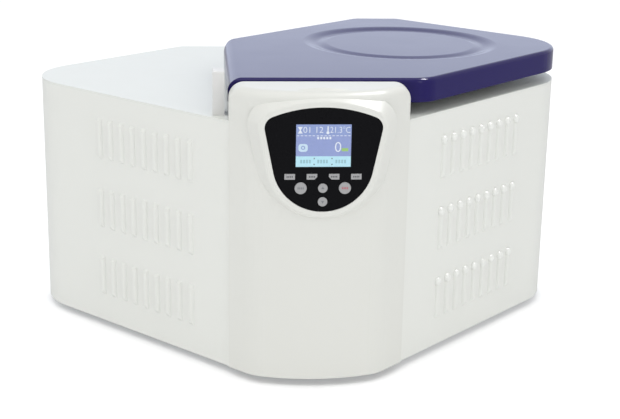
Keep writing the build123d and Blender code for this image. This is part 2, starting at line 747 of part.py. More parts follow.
def control_board():
    """The main board on four stand-offs, with its relays, a capacitor and a socket strip."""
    back = BRACKET_Y - STAND_OFF
    front = back - BOARD_THICK
    board = block((-BOARD_HALF, BOARD_HALF), (front, back), (BOARD_LOW, BOARD_HIGH))
    low, high = BOARD_LOW + STAND_OFF_INSET, BOARD_HIGH - STAND_OFF_INSET
    reach = BOARD_HALF - STAND_OFF_INSET
    corners = [(x, z) for x in (-reach, reach) for z in (low, high)]
    legs = [rod(x, back, z, STAND_OFF_RADIUS, STAND_OFF, (0, 1, 0)) for x, z in corners]
    relays = []
    for number in range(RELAY_COUNT):
        x = RELAY_PITCH * number - reach + STAND_OFF
        z = low + 2 * STAND_OFF_RADIUS
        relays.append(block((x, x + RELAY[0]), (front - RELAY[1], front), (z, z + RELAY[2])))
    x, z = reach - 2 * STAND_OFF_INSET, low + RELAY[2]
    capacitor = rod(x, front, z, CAPACITOR_RADIUS, RELAY[1], (0, -1, 0))
    wide, deep, tall = SOCKET_STRIP
    top = high - 2 * STAND_OFF_RADIUS
    sockets = block((-wide / 2, wide / 2), (front - deep, front), (top - tall, top))
    return board + legs + relays + [capacitor, sockets]


# Lid


def rolled(inset, high):
    """All that lies below a height and inside the lid's rolled left side."""
    bar = block((LID_LEFT + inset, 2 * CORNER_X), (0, 2 * BODY_DEPTH), (DECK_Z - LID_ROLL, high))
    corner = bar.edges().filter_by(Axis.Y).sort_by(lambda edge: edge.center().X - edge.center().Z)[0]
    return fillet(corner, LID_ROLL + LID_INSET - inset)


def ring_groove():
    """What is cut from the lid's top: the sunk disc and the soft groove round it."""
    high = LID_TOP + LID_WALL
    outer, inner = (RING_OUTER, LID_TOP), (RING_INNER, LID_TOP - RING_SUNK)
    deepest = (RING_RADIUS, LID_TOP - RING_DEPTH)
    slope = ((RING_OUTER + RING_RADIUS) / 2, LID_TOP - RING_DEPTH / 2)
    edges = [
        Spline(outer, slope, deepest, inner, tangents=[(-1, 0), (-1, 0)]),
        Line(inner, (0, inner[1])),
        Line((0, inner[1]), (0, high)),
        Line((0, high), (RING_OUTER, high)),
        Line((RING_OUTER, high), outer),
    ]
    section = Plane.XZ * make_face(Wire(edges))
    return Pos(BOWL_X, BOWL_Y, 0) * revolve(section, Axis.Z)


def lid_shell():
    """The blue moulded cover: rounded edge, rolled left side and the groove in its top."""
    outer = prism(lid_outline(LID_INSET), LID_BASE, LID_TOP)
    outer = fillet(outer.edges().group_by(Axis.Z)[-1], LID_EDGE) & rolled(LID_INSET, LID_TOP)
    inset, ceiling = LID_INSET + LID_WALL, LID_TOP - LID_WALL
    hollow = prism(lid_outline(inset), LID_BASE - CUT, ceiling) & rolled(inset, ceiling)
    floor = disc(BOWL_X, BOWL_Y, RING_OUTER, ceiling - RING_DEPTH, ceiling + LID_WALL / 2)
    return outer - hollow + floor - ring_groove()


def lid_liner():
    """The plate that closes the lid from below, with the plug that enters the bowl."""
    plate = prism(lid_outline(LID_INSET + LID_WALL + FIT), LINER_Z, LINER_Z + LINER_THICK)
    low, r = LINER_Z - PLUG_DROP, PLUG_RADIUS
    plug = [(0, low), (r - PLUG_DRAFT, low), (r, LINER_Z), (0, LINER_Z)]
    r = PLUG_RADIUS - LINER_THICK
    high = LINER_Z + 2 * LINER_THICK
    inside = [(0, low + LINER_THICK), (r - PLUG_DRAFT, low + LINER_THICK), (r, high), (0, high)]
    return plate + turned(BOWL_X, BOWL_Y, plug) - turned(BOWL_X, BOWL_Y, inside)


def lid_insulation():
    """The foam slab between the lid's shell and its liner."""
    low = LINER_Z + LINER_THICK
    high = LID_TOP - RING_DEPTH - LID_WALL - FOAM_GAP
    slab = prism(lid_outline(LID_INSET + LID_WALL + FOAM_SIDE), low, high)
    plug = disc(BOWL_X, BOWL_Y, PLUG_RADIUS - 2 * PLUG_DRAFT, low - PLUG_DROP, low)
    return slab + plug


def lid_striker():
    """The steel tongue under the lid's front, with the hole for the bolt."""
    axis = DECK_Z - BOLT_DROP
    half = STRIKER_THICK / 2
    y = (LOCK_Y - STRIKER_WIDTH / 2, LOCK_Y + STRIKER_WIDTH / 2)
    tongue = block((LOCK_X - half, LOCK_X + half), y, (axis - STRIKER_TIP, LINER_Z))
    foot = block((LOCK_X - STRIKER_FOOT, LOCK_X + STRIKER_FOOT), y, (LINER_Z - STRIKER_SHEET, LINER_Z))
    hole = rod(LOCK_X - STRIKER_FOOT, LOCK_Y, axis, BOLT_RADIUS + 3 * FIT, 2 * STRIKER_FOOT, (1, 0, 0))
    return tongue + foot - hole


def lock_housing():
    """The lock's case under the deck, with the slot for the striker and the bolt's bore."""
    axis = DECK_Z - BOLT_DROP
    high = DECK_Z - DECK_THICK
    y = (LOCK_Y - STRIKER_WIDTH - LOCK_WALL, LOCK_Y + STRIKER_WIDTH + LOCK_WALL)
    case = block((LOCK_X - LOCK_FRONT, LOCK_X + LOCK_REACH), y, (high - LOCK_CASE, high))
    half = 4 * FIT + STRIKER_THICK
    y = (LOCK_Y - STRIKER_WIDTH, LOCK_Y + STRIKER_WIDTH)
    slot = block((LOCK_X - half, LOCK_X + half), y, (axis - STRIKER_TIP - BOLT_RADIUS, DECK_Z))
    start = LOCK_X - LOCK_FRONT + 2 * LOCK_WALL
    bore = rod(start, LOCK_Y, axis, BOLT_RADIUS + FIT, LOCK_BORE, (1, 0, 0))
    return case - slot - bore


def lock_bolt():
    """The round bolt, drawn back clear of the striker."""
    start = LOCK_X + STRIKER_THICK + 2 * FIT
    return rod(start, LOCK_Y, DECK_Z - BOLT_DROP, BOLT_RADIUS, BOLT_LENGTH, (1, 0, 0))


def hinge_span():
    """The outer ends of the hinge's two ears."""
    half = HINGE_KNUCKLE / 2 + FIT + HINGE_EAR
    return HINGE_X - half, HINGE_X + half


def hinge_base():
    """The deck plate with two ears for the pin."""
    low, high = hinge_span()
    axis = DECK_Z + HINGE_Z
    y = (HINGE_Y - HINGE_KNUCKLE_RADIUS, HINGE_Y + HINGE_KNUCKLE_RADIUS)
    plate = block((low, high), (HINGE_Y - HINGE_BASE_REACH, y[1]), (DECK_Z, DECK_Z + HINGE_PLATE))
    ears = []
    for start in (low, high - HINGE_EAR):
        ears.append(rod(start, HINGE_Y, axis, HINGE_EAR_RADIUS, HINGE_EAR, (1, 0, 0)))
        ears.append(block((start, start + HINGE_EAR), y, (DECK_Z, axis)))
    bore = rod(low - CUT, HINGE_Y, axis, HINGE_PIN_RADIUS, high - low + 2 * CUT, (1, 0, 0))
    return plate + ears - bore


def hinge_leaf():
    """The lid's leaf: a knuckle round the pin and a plate under the liner."""
    axis = DECK_Z + HINGE_Z
    low, high = HINGE_X - HINGE_KNUCKLE / 2, HINGE_X + HINGE_KNUCKLE / 2
    knuckle = rod(low, HINGE_Y, axis, HINGE_KNUCKLE_RADIUS, HINGE_KNUCKLE, (1, 0, 0))
    plate = block((low, high), (HINGE_Y - HINGE_LEAF_REACH, HINGE_Y), (LINER_Z - HINGE_PLATE, LINER_Z))
    web = block((low, high), (HINGE_Y - HINGE_KNUCKLE_RADIUS, HINGE_Y), (axis, LINER_Z - HINGE_PLATE / 2))
    length = HINGE_KNUCKLE + 2 * CUT
    bore = rod(low - CUT, HINGE_Y, axis, HINGE_PIN_RADIUS + SHAFT_GAP, length, (1, 0, 0))
    return knuckle + plate + web - bore


def hinge_pin():
    """The pin through both ears and the knuckle."""
    low, high = hinge_span()
    return rod(low, HINGE_Y, DECK_Z + HINGE_Z, HINGE_PIN_RADIUS, high - low, (1, 0, 0))


# Bowl and drive


def bowl():
    """The spun steel bowl with its flange on the deck and the shaft's hole in its floor."""
    r, w = BOWL_RADIUS, BOWL_WALL
    floor, rim, bevel = BOWL_FLOOR, DECK_Z + BOWL_WALL, BOWL_BEVEL
    inside = [(SHAFT_HOLE, floor), (r - bevel, floor), (r, floor + bevel), (r, rim)]
    outside = [(r + BOWL_FLANGE, rim), (r + BOWL_FLANGE, DECK_Z), (r + w, DECK_Z)]
    outside += [(r + w, floor + bevel - w / 2), (r - bevel + w / 2, floor - w), (SHAFT_HOLE, floor - w)]
    return turned(BOWL_X, BOWL_Y, inside + outside)


def bowl_gasket():
    """The soft ring on the bowl's flange that the lid's liner meets."""
    inner = BOWL_RADIUS + GASKET_SET
    outer = inner + GASKET_WIDTH
    low, high = DECK_Z + BOWL_WALL, LINER_Z - FIT
    return turned(BOWL_X, BOWL_Y, [(inner, low), (outer, low), (outer - GASKET_SLOPE, high), (inner, high)])


def evaporator_jacket():
    """The cold jacket round the bowl's wall."""
    inner = BOWL_RADIUS + BOWL_WALL + JACKET_GAP
    low, high = BOWL_FLOOR - BOWL_WALL - FIT, DECK_Z - JACKET_DROP
    return disc(BOWL_X, BOWL_Y, inner + JACKET_THICK, low, high) - disc(BOWL_X, BOWL_Y, inner, 0, DECK_Z)


def bowl_insulation():
    """The foam bucket round the bowl and its jacket."""
    inner = BOWL_RADIUS + BOWL_WALL + JACKET_GAP + JACKET_THICK + FIT
    outer = inner + INSULATION_THICK
    low, floor = BOWL_FLOOR - BOWL_WALL - INSULATION_FLOOR, BOWL_FLOOR - BOWL_WALL - FIT
    top = DECK_Z - DECK_THICK - FIT
    bore = SEAL_RADIUS + INSULATION_BORE
    profile = [(bore, low), (outer, low), (outer, top), (inner, top), (inner, floor), (bore, floor)]
    return turned(BOWL_X, BOWL_Y, profile)


def shaft_seal():
    """The rubber bellows between the bowl's floor and the motor."""
    low, high = MOTOR_TOP, BOWL_FLOOR + SEAL_LIP
    inner, neck = SHAFT_RADIUS + SEAL_LIP, SHAFT_HOLE - FIT
    profile = [(inner, low), (SEAL_RADIUS, low), (neck, BOWL_FLOOR - BOWL_WALL - SEAL_LIP), (neck, high)]
    return turned(BOWL_X, BOWL_Y, profile + [(inner, high)])


def motor_housing():
    """The upright drive motor with the shaft's bore and the bearing's seat."""
    r, low, high = MOTOR_RADIUS, MOTOR_BASE, MOTOR_TOP
    profile = [(0, low), (r, low), (r, high - MOTOR_SHOULDER), (r - MOTOR_SHOULDER, high), (0, high)]
    bore = disc(BOWL_X, BOWL_Y, SHAFT_RADIUS + SHAFT_GAP, low + MOTOR_FLOOR, high + CUT)
    seat = disc(BOWL_X, BOWL_Y, BEARING_RADIUS, high - BEARING_WIDTH, high + CUT)
    return turned(BOWL_X, BOWL_Y, profile) - bore - seat


def motor_bearing():
    """The upper bearing in the motor's end plate."""
    ring = disc(BOWL_X, BOWL_Y, BEARING_RADIUS, MOTOR_TOP - BEARING_WIDTH, MOTOR_TOP)
    return ring - disc(BOWL_X, BOWL_Y, SHAFT_RADIUS + SHAFT_GAP, 0, DECK_Z)


def damper_places():
    """Four damper places round the motor's axis."""
    angles = [45 + 90 * number for number in range(4)]
    spread = DAMPER_SPREAD
    return [
        (BOWL_X + spread * math.cos(math.radians(a)), BOWL_Y + spread * math.sin(math.radians(a)))
        for a in angles
    ]


def motor_plate():
    """The square plate under the motor."""
    half = DAMPER_SPREAD / SQRT2 + DAMPER_RADIUS + 2
    outline = fillet(Rectangle(2 * half, 2 * half).vertices(), DAMPER_RADIUS)
    plate = prism(Pos(BOWL_X, BOWL_Y) * outline, MOTOR_BASE - MOTOR_PLATE, MOTOR_BASE)
    return plate


def motor_dampers():
    """Four rubber dampers between the motor plate and the pan."""
    low, high = PAN_TOP, MOTOR_BASE - MOTOR_PLATE
    return Compound([disc(x, y, DAMPER_RADIUS, low, high).solid() for x, y in damper_places()])


def drive_shaft():
    """The shaft from the motor up to the rotor's cone seat."""
    r, collar = SHAFT_RADIUS, SHAFT_RADIUS + COLLAR_STEP
    low = MOTOR_BASE + MOTOR_FLOOR + 2 * CUT
    shoulder, tip = ROTOR_BASE - HUB_DROP, ROTOR_TOP - MOUTH_DEPTH
    profile = [(0, low), (r, low), (r, shoulder - COLLAR_HEIGHT), (collar, shoulder - COLLAR_HEIGHT)]
    profile += [(collar, shoulder), (r + CONE_STEP, shoulder), (r, tip), (0, tip)]
    return turned(BOWL_X, BOWL_Y, profile)


def rotor_body():
    """The fixed-angle rotor: a coned solid with a hollow underside and a cone seat."""
    low, high = ROTOR_BASE, ROTOR_TOP
    r, bore, top = ROTOR_RADIUS, SHAFT_RADIUS, ROTOR_TOP_RADIUS
    under = low + ROTOR_HOLLOW
    profile = [(bore + CONE_STEP, low - HUB_DROP), (HUB_RADIUS, low - HUB_DROP), (HUB_RADIUS, under)]
    profile += [(ROTOR_WEB_RADIUS, under), (r, low), (r, low + ROTOR_SKIRT), (top, high)]
    profile += [(top - MOUTH_LIP, high), (top - MOUTH_LIP, high - MOUTH_DEPTH), (bore, high - MOUTH_DEPTH)]
    return turned(BOWL_X, BOWL_Y, profile)


def rotor_cover():
    """The coned cover on the rotor's mouth."""
    r, low, high = ROTOR_TOP_RADIUS - COVER_INSET, ROTOR_TOP, ROTOR_TOP + COVER_HEIGHT
    profile = [(COVER_HOLE, low), (r, low), (r, low + COVER_RIM), (KNOB_RADIUS + COVER_INSET, high)]
    return turned(BOWL_X, BOWL_Y, profile + [(COVER_HOLE, high)])


def rotor_knob():
    """The ten-sided knob that holds the cover, with its stem to the shaft."""
    low = ROTOR_TOP + COVER_HEIGHT
    grip = Pos(BOWL_X, BOWL_Y) * RegularPolygon(KNOB_RADIUS, KNOB_SIDES)
    grip = prism(grip, low, low + KNOB_HEIGHT)
    grip = chamfer(grip.edges().group_by(Axis.Z)[-1], KNOB_EDGE)
    return grip + disc(BOWL_X, BOWL_Y, KNOB_STEM, ROTOR_TOP - MOUTH_DEPTH, low)


# Refrigeration


def compressor():
    """The hermetic compressor: a welded pot on its feet plate."""
    r, low = COMPRESSOR_RADIUS, PAN_TOP + BUSH_HEIGHT + COMPRESSOR_PLATE
    high = low + COMPRESSOR_HEIGHT
    dome = [(0, high), (r * 0.7, high - 0.17 * r), (r, high - 0.65 * r)]
    foot = [(r, low + 0.45 * r), (r * 0.7, low), (0, low)]
    pot = turned(COMPRESSOR_X, COMPRESSOR_Y, dome + foot)
    half = r + COMPRESSOR_MARGIN
    plate = block(
        (COMPRESSOR_X - half, COMPRESSOR_X + half),
        (COMPRESSOR_Y - half, COMPRESSOR_Y + half),
        (low - COMPRESSOR_PLATE, low + CUT),
    )
    return pot + plate


def compressor_feet():
    """Four rubber bushes under the compressor's plate."""
    reach = COMPRESSOR_RADIUS + COMPRESSOR_MARGIN - 1.5 * BUSH_RADIUS
    feet = []
    for side in (1, -1):
        for end in (1, -1):
            x, y = COMPRESSOR_X + side * reach, COMPRESSOR_Y + end * reach
            feet.append(disc(x, y, BUSH_RADIUS, PAN_TOP, PAN_TOP + BUSH_HEIGHT).solid())
    return Compound(feet)


def condenser_tube(number):
    """The height of one of the condenser's flat tubes."""
    return PAN_TOP + TUBE_START + number * TUBE_PITCH


def condenser():
    """The finned condenser block behind the vents, with its end plates."""
    x0, x1 = CONDENSER_X - CONDENSER_WIDTH / 2, CONDENSER_X + CONDENSER_WIDTH / 2
    y = (CONDENSER_BACK - CONDENSER_THICK, CONDENSER_BACK)
    low, high = PAN_TOP, PAN_TOP + CONDENSER_HEIGHT
    pieces = [block((x1, x1 + END_PLATE), (y[0] - SHROUD_GAP, y[1]), (low, high))]
    pitch = (CONDENSER_WIDTH - FIN_THICK) / FIN_COUNT
    for number in range(1, FIN_COUNT):
        x = x0 + number * pitch
        pieces.append(block((x, x + FIN_THICK), y, (low + FIN_MARGIN, high - FIN_MARGIN)))
    for number in range(TUBE_COUNT):
        z = condenser_tube(number)
        pieces.append(block((x0, x1), (y[0] + FIN_MARGIN, y[1] - FIN_MARGIN), (z - TUBE_HALF, z + TUBE_HALF)))
    return block((x0 - END_PLATE, x0), (y[0] - SHROUD_GAP, y[1]), (low, high)) + pieces


def fan_shroud():
    """The square plate with the fan's ring and the three arms that carry its motor."""
    x, z, back = CONDENSER_X, PAN_TOP + CONDENSER_HEIGHT / 2, SHROUD_BACK
    half = CONDENSER_WIDTH / 2 + END_PLATE
    plate = block((x - half, x + half), (back - SHROUD_SHEET, back), (PAN_TOP, PAN_TOP + CONDENSER_HEIGHT))
    ring = rod(x, back - RING_LENGTH, z, FAN_RADIUS + FAN_CLEARANCE + SHROUD_SHEET, RING_LENGTH, (0, 1, 0))
    bore = rod(x, back - 2 * RING_LENGTH, z, FAN_RADIUS + FAN_CLEARANCE, 3 * RING_LENGTH, (0, 1, 0))
    arms = []
    for number in range(3):
        reach = FAN_RADIUS + FAN_CLEARANCE + SHROUD_SHEET / 2
        arm = block((FAN_MOTOR_RADIUS + FIT, reach), (-ARM, ARM), (-ARM, ARM))
        arms.append(Pos(x, back - RING_LENGTH - ARM / 2, z) * Rot(0, 120 * number + 90, 0) * arm)
    return plate + ring - bore + arms


def fan_motor():
    """The small motor on the shroud's arms."""
    x, z = CONDENSER_X, PAN_TOP + CONDENSER_HEIGHT / 2
    front = FAN_FACE - FIT - FAN_MOTOR_LENGTH
    can = rod(x, front, z, FAN_MOTOR_RADIUS, FAN_MOTOR_LENGTH, (0, 1, 0))
    deepest = FAN_FACE - FAN_SHAFT - 2 * FIT
    bore = rod(x, deepest, z, FAN_SHAFT_RADIUS + SHAFT_GAP, FAN_MOTOR_LENGTH, (0, 1, 0))
    return can - bore


def fan_blades():
    """Five pitched blades round a hub, on the fan motor's shaft."""
    hub = rod(0, 0, 0, FAN_HUB_RADIUS, FAN_HUB, (0, 1, 0))
    shaft = rod(0, 0, 0, FAN_SHAFT_RADIUS, FAN_SHAFT, (0, -1, 0))
    blades = []
    for number in range(FAN_BLADES):
        reach = FAN_RADIUS - FAN_HUB_RADIUS
        blade = Pos(FAN_HUB_RADIUS + reach / 2 - CUT, FAN_HUB / 2, 0) * Rot(FAN_PITCH, 0, 0)
        blades.append(Rot(0, 360 / FAN_BLADES * number, 0) * blade * Box(reach, BLADE_THICK, BLADE_WIDTH))
    return Pos(CONDENSER_X, FAN_FACE, PAN_TOP + CONDENSER_HEIGHT / 2) * (hub + shaft + blades)


def pipe(points, radius):
    """A round pipe along straight runs with mitred corners."""
    path = Polyline(*points)
    section = Plane(origin=points[0], z_dir=path % 0) * Circle(radius)
    return sweep(section, path=path, transition=Transition.RIGHT)


def discharge_pipe():
    """From the compressor's pot to the condenser's end plate."""
    x0 = CONDENSER_X - CONDENSER_WIDTH / 2 - END_PLATE
    y = CONDENSER_BACK - CONDENSER_THICK / 2
    z = condenser_tube(TUBE_COUNT - 1)
    top = PAN_TOP + BUSH_HEIGHT + COMPRESSOR_PLATE + COMPRESSOR_HEIGHT
    over = top + PIPE_RISE
    points = [(COMPRESSOR_X, COMPRESSOR_Y, top), (COMPRESSOR_X, COMPRESSOR_Y, over)]
    points += [(x0 - PIPE_SIDE, y, over), (x0 - PIPE_SIDE, y, z), (x0, y, z)]
    return pipe(points, PIPE_RADIUS)


def filter_drier():
    """The copper drier on the liquid line beside the condenser."""
    x = CONDENSER_X - CONDENSER_WIDTH / 2 - END_PLATE - LIQUID_SIDE
    y = CONDENSER_BACK - CONDENSER_THICK / 2 - LIQUID_TURN
    low, r, neck = DRIER_BASE, DRIER_RADIUS, PIPE_RADIUS
    high = low + DRIER_LENGTH
    return turned(x, y, [(0, low), (neck, low), (r, low + r), (r, high - r), (neck, high), (0, high)])


def liquid_pipe():
    """From the condenser's lowest tube to the drier."""
    x0 = CONDENSER_X - CONDENSER_WIDTH / 2 - END_PLATE
    y, z = CONDENSER_BACK - CONDENSER_THICK / 2, condenser_tube(0)
    x, turn = x0 - LIQUID_SIDE, y - LIQUID_TURN
    return pipe([(x0, y, z), (x, y, z), (x, turn, z), (x, turn, DRIER_BASE)], LIQUID_RADIUS)


def motor_drive():
    """The speed control for the motor: a case with a finned heat sink on top."""
    wide, deep, tall = DRIVE_CASE
    top = PAN_TOP + tall
    y = (DRIVE_Y, DRIVE_Y + deep)
    case = block((-wide / 2, wide / 2), y, (PAN_TOP, top))
    fins = []
    for number in range(SINK_FINS):
        x = (number - (SINK_FINS - 1) / 2) * SINK_PITCH
        fins.append(block((x - SINK_FIN / 2, x + SINK_FIN / 2), y, (top, top + SINK_HEIGHT)))
    return case + fins


# Power inlet and switch


def through_panel(z, width, height, depth, front):
    """A box on the inlet's line, given by its depth behind the panel's face and its front."""
    x = (INLET_X - width / 2, INLET_X + width / 2)
    return block(x, (BACK_INNER - depth, BACK_INNER + front), (z - height / 2, z + height / 2))


def inlet_body(grow=0.0):
    """The inlet's body, which passes through the back panel."""
    width, height, depth = INLET_BODY
    return through_panel(INLET_Z, width + 2 * grow, height + 2 * grow, depth, SHEET / 2)


def power_inlet():
    """The three-pin inlet with its flange."""
    width, height, depth = INLET_SOCKET
    flange = through_panel(INLET_Z, INLET_FLANGE[0], INLET_FLANGE[1], 0, SHEET)
    socket = through_panel(INLET_Z, width, height, depth, DECK_THICK)
    pins = []
    for side, level in ((0, 1), (-1, -1), (1, -1)):
        pin = through_panel(INLET_Z + level * PIN_LEVEL, PIN[0], PIN[1], depth + PIN[0], PIN[2] - depth)
        pins.append(Pos(side * PIN_SPREAD, 0, 0) * pin)
    return inlet_body() + flange - socket + pins


def switch_body(grow=0.0):
    """The switch's case, which passes through the back panel."""
    width, height, depth = SWITCH_BODY
    return through_panel(SWITCH_Z, width + 2 * grow, height + 2 * grow, depth, SHEET / 2)


def switch_frame():
    """The rocker switch's case and its rim."""
    rim = through_panel(SWITCH_Z, SWITCH_BODY[0] + SWITCH_RIM, SWITCH_BODY[1] + SWITCH_RIM, 0, SHEET)
    well = through_panel(SWITCH_Z, SWITCH_WELL[0], SWITCH_WELL[1], SWITCH_WELL[2], DECK_THICK)
    return switch_body() + rim - well


def rocker():
    """The rocker, pivoted about X a little below the rim, with its lower end pressed in."""
    half, keel = ROCKER_HALF, ROCKER_KEEL
    profile = [(-half, 0), (-half, ROCKER_LOW), (0, -ROCKER_DIP), (half, ROCKER_HIGH)]
    profile += [(half, ROCKER_LOW), (keel, -ROCKER_DEEP), (-keel, -ROCKER_DEEP)]
    outline = mirror(Polygon(*profile, align=None), about=Plane.XZ)
    plane = Plane(origin=(INLET_X, BACK_INNER - ROCKER_PIVOT, SWITCH_Z), x_dir=(0, 0, 1), z_dir=(1, 0, 0))
    return extrude(plane * outline, amount=SWITCH_WELL[0] / 2 - ROCKER_GAP, both=True)


NODES = {
    "base_pan": base_pan,
    "rubber_feet": rubber_feet,
    "right_side_panel": lambda: side_panel(RIGHT_LOUVRE_START, RIGHT_SEAM),
    "left_side_panel": lambda: mirror(side_panel(LEFT_LOUVRE_START, LEFT_SEAM), about=Plane.YZ),
    "back_panel": back_panel,
    "back_screws": lambda: Compound([screw[0].solid() for screw in back_screws()]),
    "top_deck": top_deck,
    "side_post": side_post,
    "control_column": control_column,
    "keypad_shield": keypad_shield,
    "display_window": display_window,
    "display_module": display_module,
    "key_board": key_board,
    "board_bracket": board_bracket,
    "control_board": control_board,
    "lid_shell": lid_shell,
    "lid_liner": lid_liner,
    "lid_insulation": lid_insulation,
    "lid_striker": lid_striker,
    "lock_housing": lock_housing,
    "lock_bolt": lock_bolt,
    "hinge_base": hinge_base,
    "hinge_leaf": hinge_leaf,
    "hinge_pin": hinge_pin,
    "bowl": bowl,
    "bowl_gasket": bowl_gasket,
    "evaporator_jacket": evaporator_jacket,
    "bowl_insulation": bowl_insulation,
    "shaft_seal": shaft_seal,
    "motor_housing": motor_housing,
    "motor_bearing": motor_bearing,
    "motor_plate": motor_plate,
    "motor_dampers": motor_dampers,
    "drive_shaft": drive_shaft,
    "rotor_body": rotor_body,
    "rotor_cover": rotor_cover,
    "rotor_knob": rotor_knob,
    "compressor": compressor,
    "compressor_feet": compressor_feet,
    "condenser": condenser,
    "fan_shroud": fan_shroud,
    "fan_motor": fan_motor,
    "fan_blades": fan_blades,
    "discharge_pipe": discharge_pipe,
    "filter_drier": filter_drier,
    "liquid_pipe": liquid_pipe,
    "motor_drive": motor_drive,
    "power_inlet": power_inlet,
    "switch_frame": switch_frame,
    "power_rocker": rocker,
}

os.makedirs("parts", exist_ok=True)
for node, make in NODES.items():
    write_node(node, make())
for node, sketch in key_sketches().items():
    write_node(node, key(sketch))
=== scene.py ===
"""Looks for a bench-top refrigerated centrifuge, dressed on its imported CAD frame."""

import logging
import math
from dataclasses import dataclass, field
from enum import Enum
from typing import Callable

import bmesh
import bpy
from mathutils import Matrix, Vector


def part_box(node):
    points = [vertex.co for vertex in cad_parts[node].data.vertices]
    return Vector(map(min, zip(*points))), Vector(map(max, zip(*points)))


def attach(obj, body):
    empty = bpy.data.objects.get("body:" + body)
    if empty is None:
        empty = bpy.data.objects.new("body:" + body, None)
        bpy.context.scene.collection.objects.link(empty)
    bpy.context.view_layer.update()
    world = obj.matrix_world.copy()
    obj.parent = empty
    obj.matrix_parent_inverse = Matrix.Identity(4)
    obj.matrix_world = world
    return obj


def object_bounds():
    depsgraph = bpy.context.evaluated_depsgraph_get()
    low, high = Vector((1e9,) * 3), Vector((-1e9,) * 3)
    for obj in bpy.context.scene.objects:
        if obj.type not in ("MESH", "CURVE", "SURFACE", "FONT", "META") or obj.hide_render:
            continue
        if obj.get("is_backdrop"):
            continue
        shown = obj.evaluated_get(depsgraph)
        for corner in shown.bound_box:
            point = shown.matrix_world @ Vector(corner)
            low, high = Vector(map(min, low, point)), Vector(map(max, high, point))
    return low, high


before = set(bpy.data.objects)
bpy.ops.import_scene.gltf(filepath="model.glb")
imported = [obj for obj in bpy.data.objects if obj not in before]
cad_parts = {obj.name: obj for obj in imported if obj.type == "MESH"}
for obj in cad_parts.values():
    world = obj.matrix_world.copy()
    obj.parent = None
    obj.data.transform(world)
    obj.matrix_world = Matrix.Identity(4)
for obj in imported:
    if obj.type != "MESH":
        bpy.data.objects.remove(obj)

log = logging.getLogger("centrifuge")

MM = 0.001
Pair = tuple[float, float]
Triple = tuple[float, float, float]
Colour = Triple
Mesh = bmesh.types.BMesh
NodeTree = bpy.types.NodeTree
Node = bpy.types.Node
Socket = bpy.types.NodeSocket


class Gloss(Enum):
    """How far a surface is polished, as the shader's roughness."""

    MIRROR = 0.08
    POLISHED = 0.16
    SEMI_GLOSS = 0.28
    SATIN = 0.40
    SOFT = 0.52
    MATT = 0.70
    RAW = 0.85


class Pattern(Enum):
    """The shared shader node groups, by their names."""

    TONE_DRIFT = "tone_drift"
    COAT_GRAIN = "coat_grain"
    TURNING_MARKS = "turning_marks"
    SETTLED_DUST = "settled_dust"


# Shader nodes

FLOAT = "NodeSocketFloat"
VECTOR = "NodeSocketVector"
COLOUR = "NodeSocketColor"
MIX_INPUTS = (0, 6, 7)   # the Mix node's factor and its two colours
MIX_OUTPUT = 2           # its mixed colour
NOISE_MIDDLE = 0.5       # a noise's middle value
FINE_SCALE = 9.0         # the fine drift's scale against the slow one's
SLOW_SHARE = 0.7         # how much of a drift is slow
FINE_SHARE = 0.3         # how much of it is fine
WAVE_SCALE = 0.06        # the scale of a coat's waves against its grain's
DUST_SCALE = 38.0        # the scale of the clouds in settled dust


def feed(tree: NodeTree, socket: Socket, value: object) -> None:
    """Give a socket its value.

    Args:
        tree: the tree that the socket is in.
        socket: an input.
        value: a colour, a number, or an output to link to it.
    """
    if isinstance(value, tuple):
        socket.default_value = (*value, 1.0)
    elif isinstance(value, (int, float)):
        socket.default_value = value
    else:
        tree.links.new(value, socket)


def math_node(tree: NodeTree, operation: str, *values: object) -> Socket:
    """Add a Math node.

    Args:
        tree: the tree that it goes into.
        operation: what it does.
        values: its inputs, as sockets or numbers.

    Returns:
        Its output.
    """
    node = tree.nodes.new("ShaderNodeMath")
    node.operation = operation
    for socket, value in zip(node.inputs, values):
        feed(tree, socket, value)
    return node.outputs[0]


def add(tree: NodeTree, first: object, second: object) -> Socket:
    """Add two sockets or numbers."""
    return math_node(tree, "ADD", first, second)


def minus(tree: NodeTree, first: object, second: object) -> Socket:
    """Take the second of two sockets or numbers from the first."""
    return math_node(tree, "SUBTRACT", first, second)


def times(tree: NodeTree, first: object, second: object) -> Socket:
    """Multiply two sockets or numbers."""
    return math_node(tree, "MULTIPLY", first, second)


def noise_node(tree: NodeTree, where: Socket, scale: object, detail: float) -> Socket:
    """Add a noise texture.

    Args:
        tree: the tree that it goes into.
        where: its coordinates.
        scale: its scale, as a socket or a number.
        detail: how many finer layers it has.

    Returns:
        Its value.
    """
    node = tree.nodes.new("ShaderNodeTexNoise")
    node.inputs["Detail"].default_value = detail
    tree.links.new(where, node.inputs["Vector"])
    feed(tree, node.inputs["Scale"], scale)
    return node.outputs["Fac"]


def mix_colour(tree: NodeTree, factor: object, first: object, second: object) -> Socket:
    """Mix two colours.

    Args:
        tree: the tree that the Mix node goes into.
        factor: how much of the second colour there is, as a socket or a number.
        first: a colour or a socket.
        second: a colour or a socket.

    Returns:
        The mixed colour.
    """
    node = tree.nodes.new("ShaderNodeMix")
    node.data_type = "RGBA"
    for place, value in zip(MIX_INPUTS, (factor, first, second)):
        feed(tree, node.inputs[place], value)
    return node.outputs[MIX_OUTPUT]


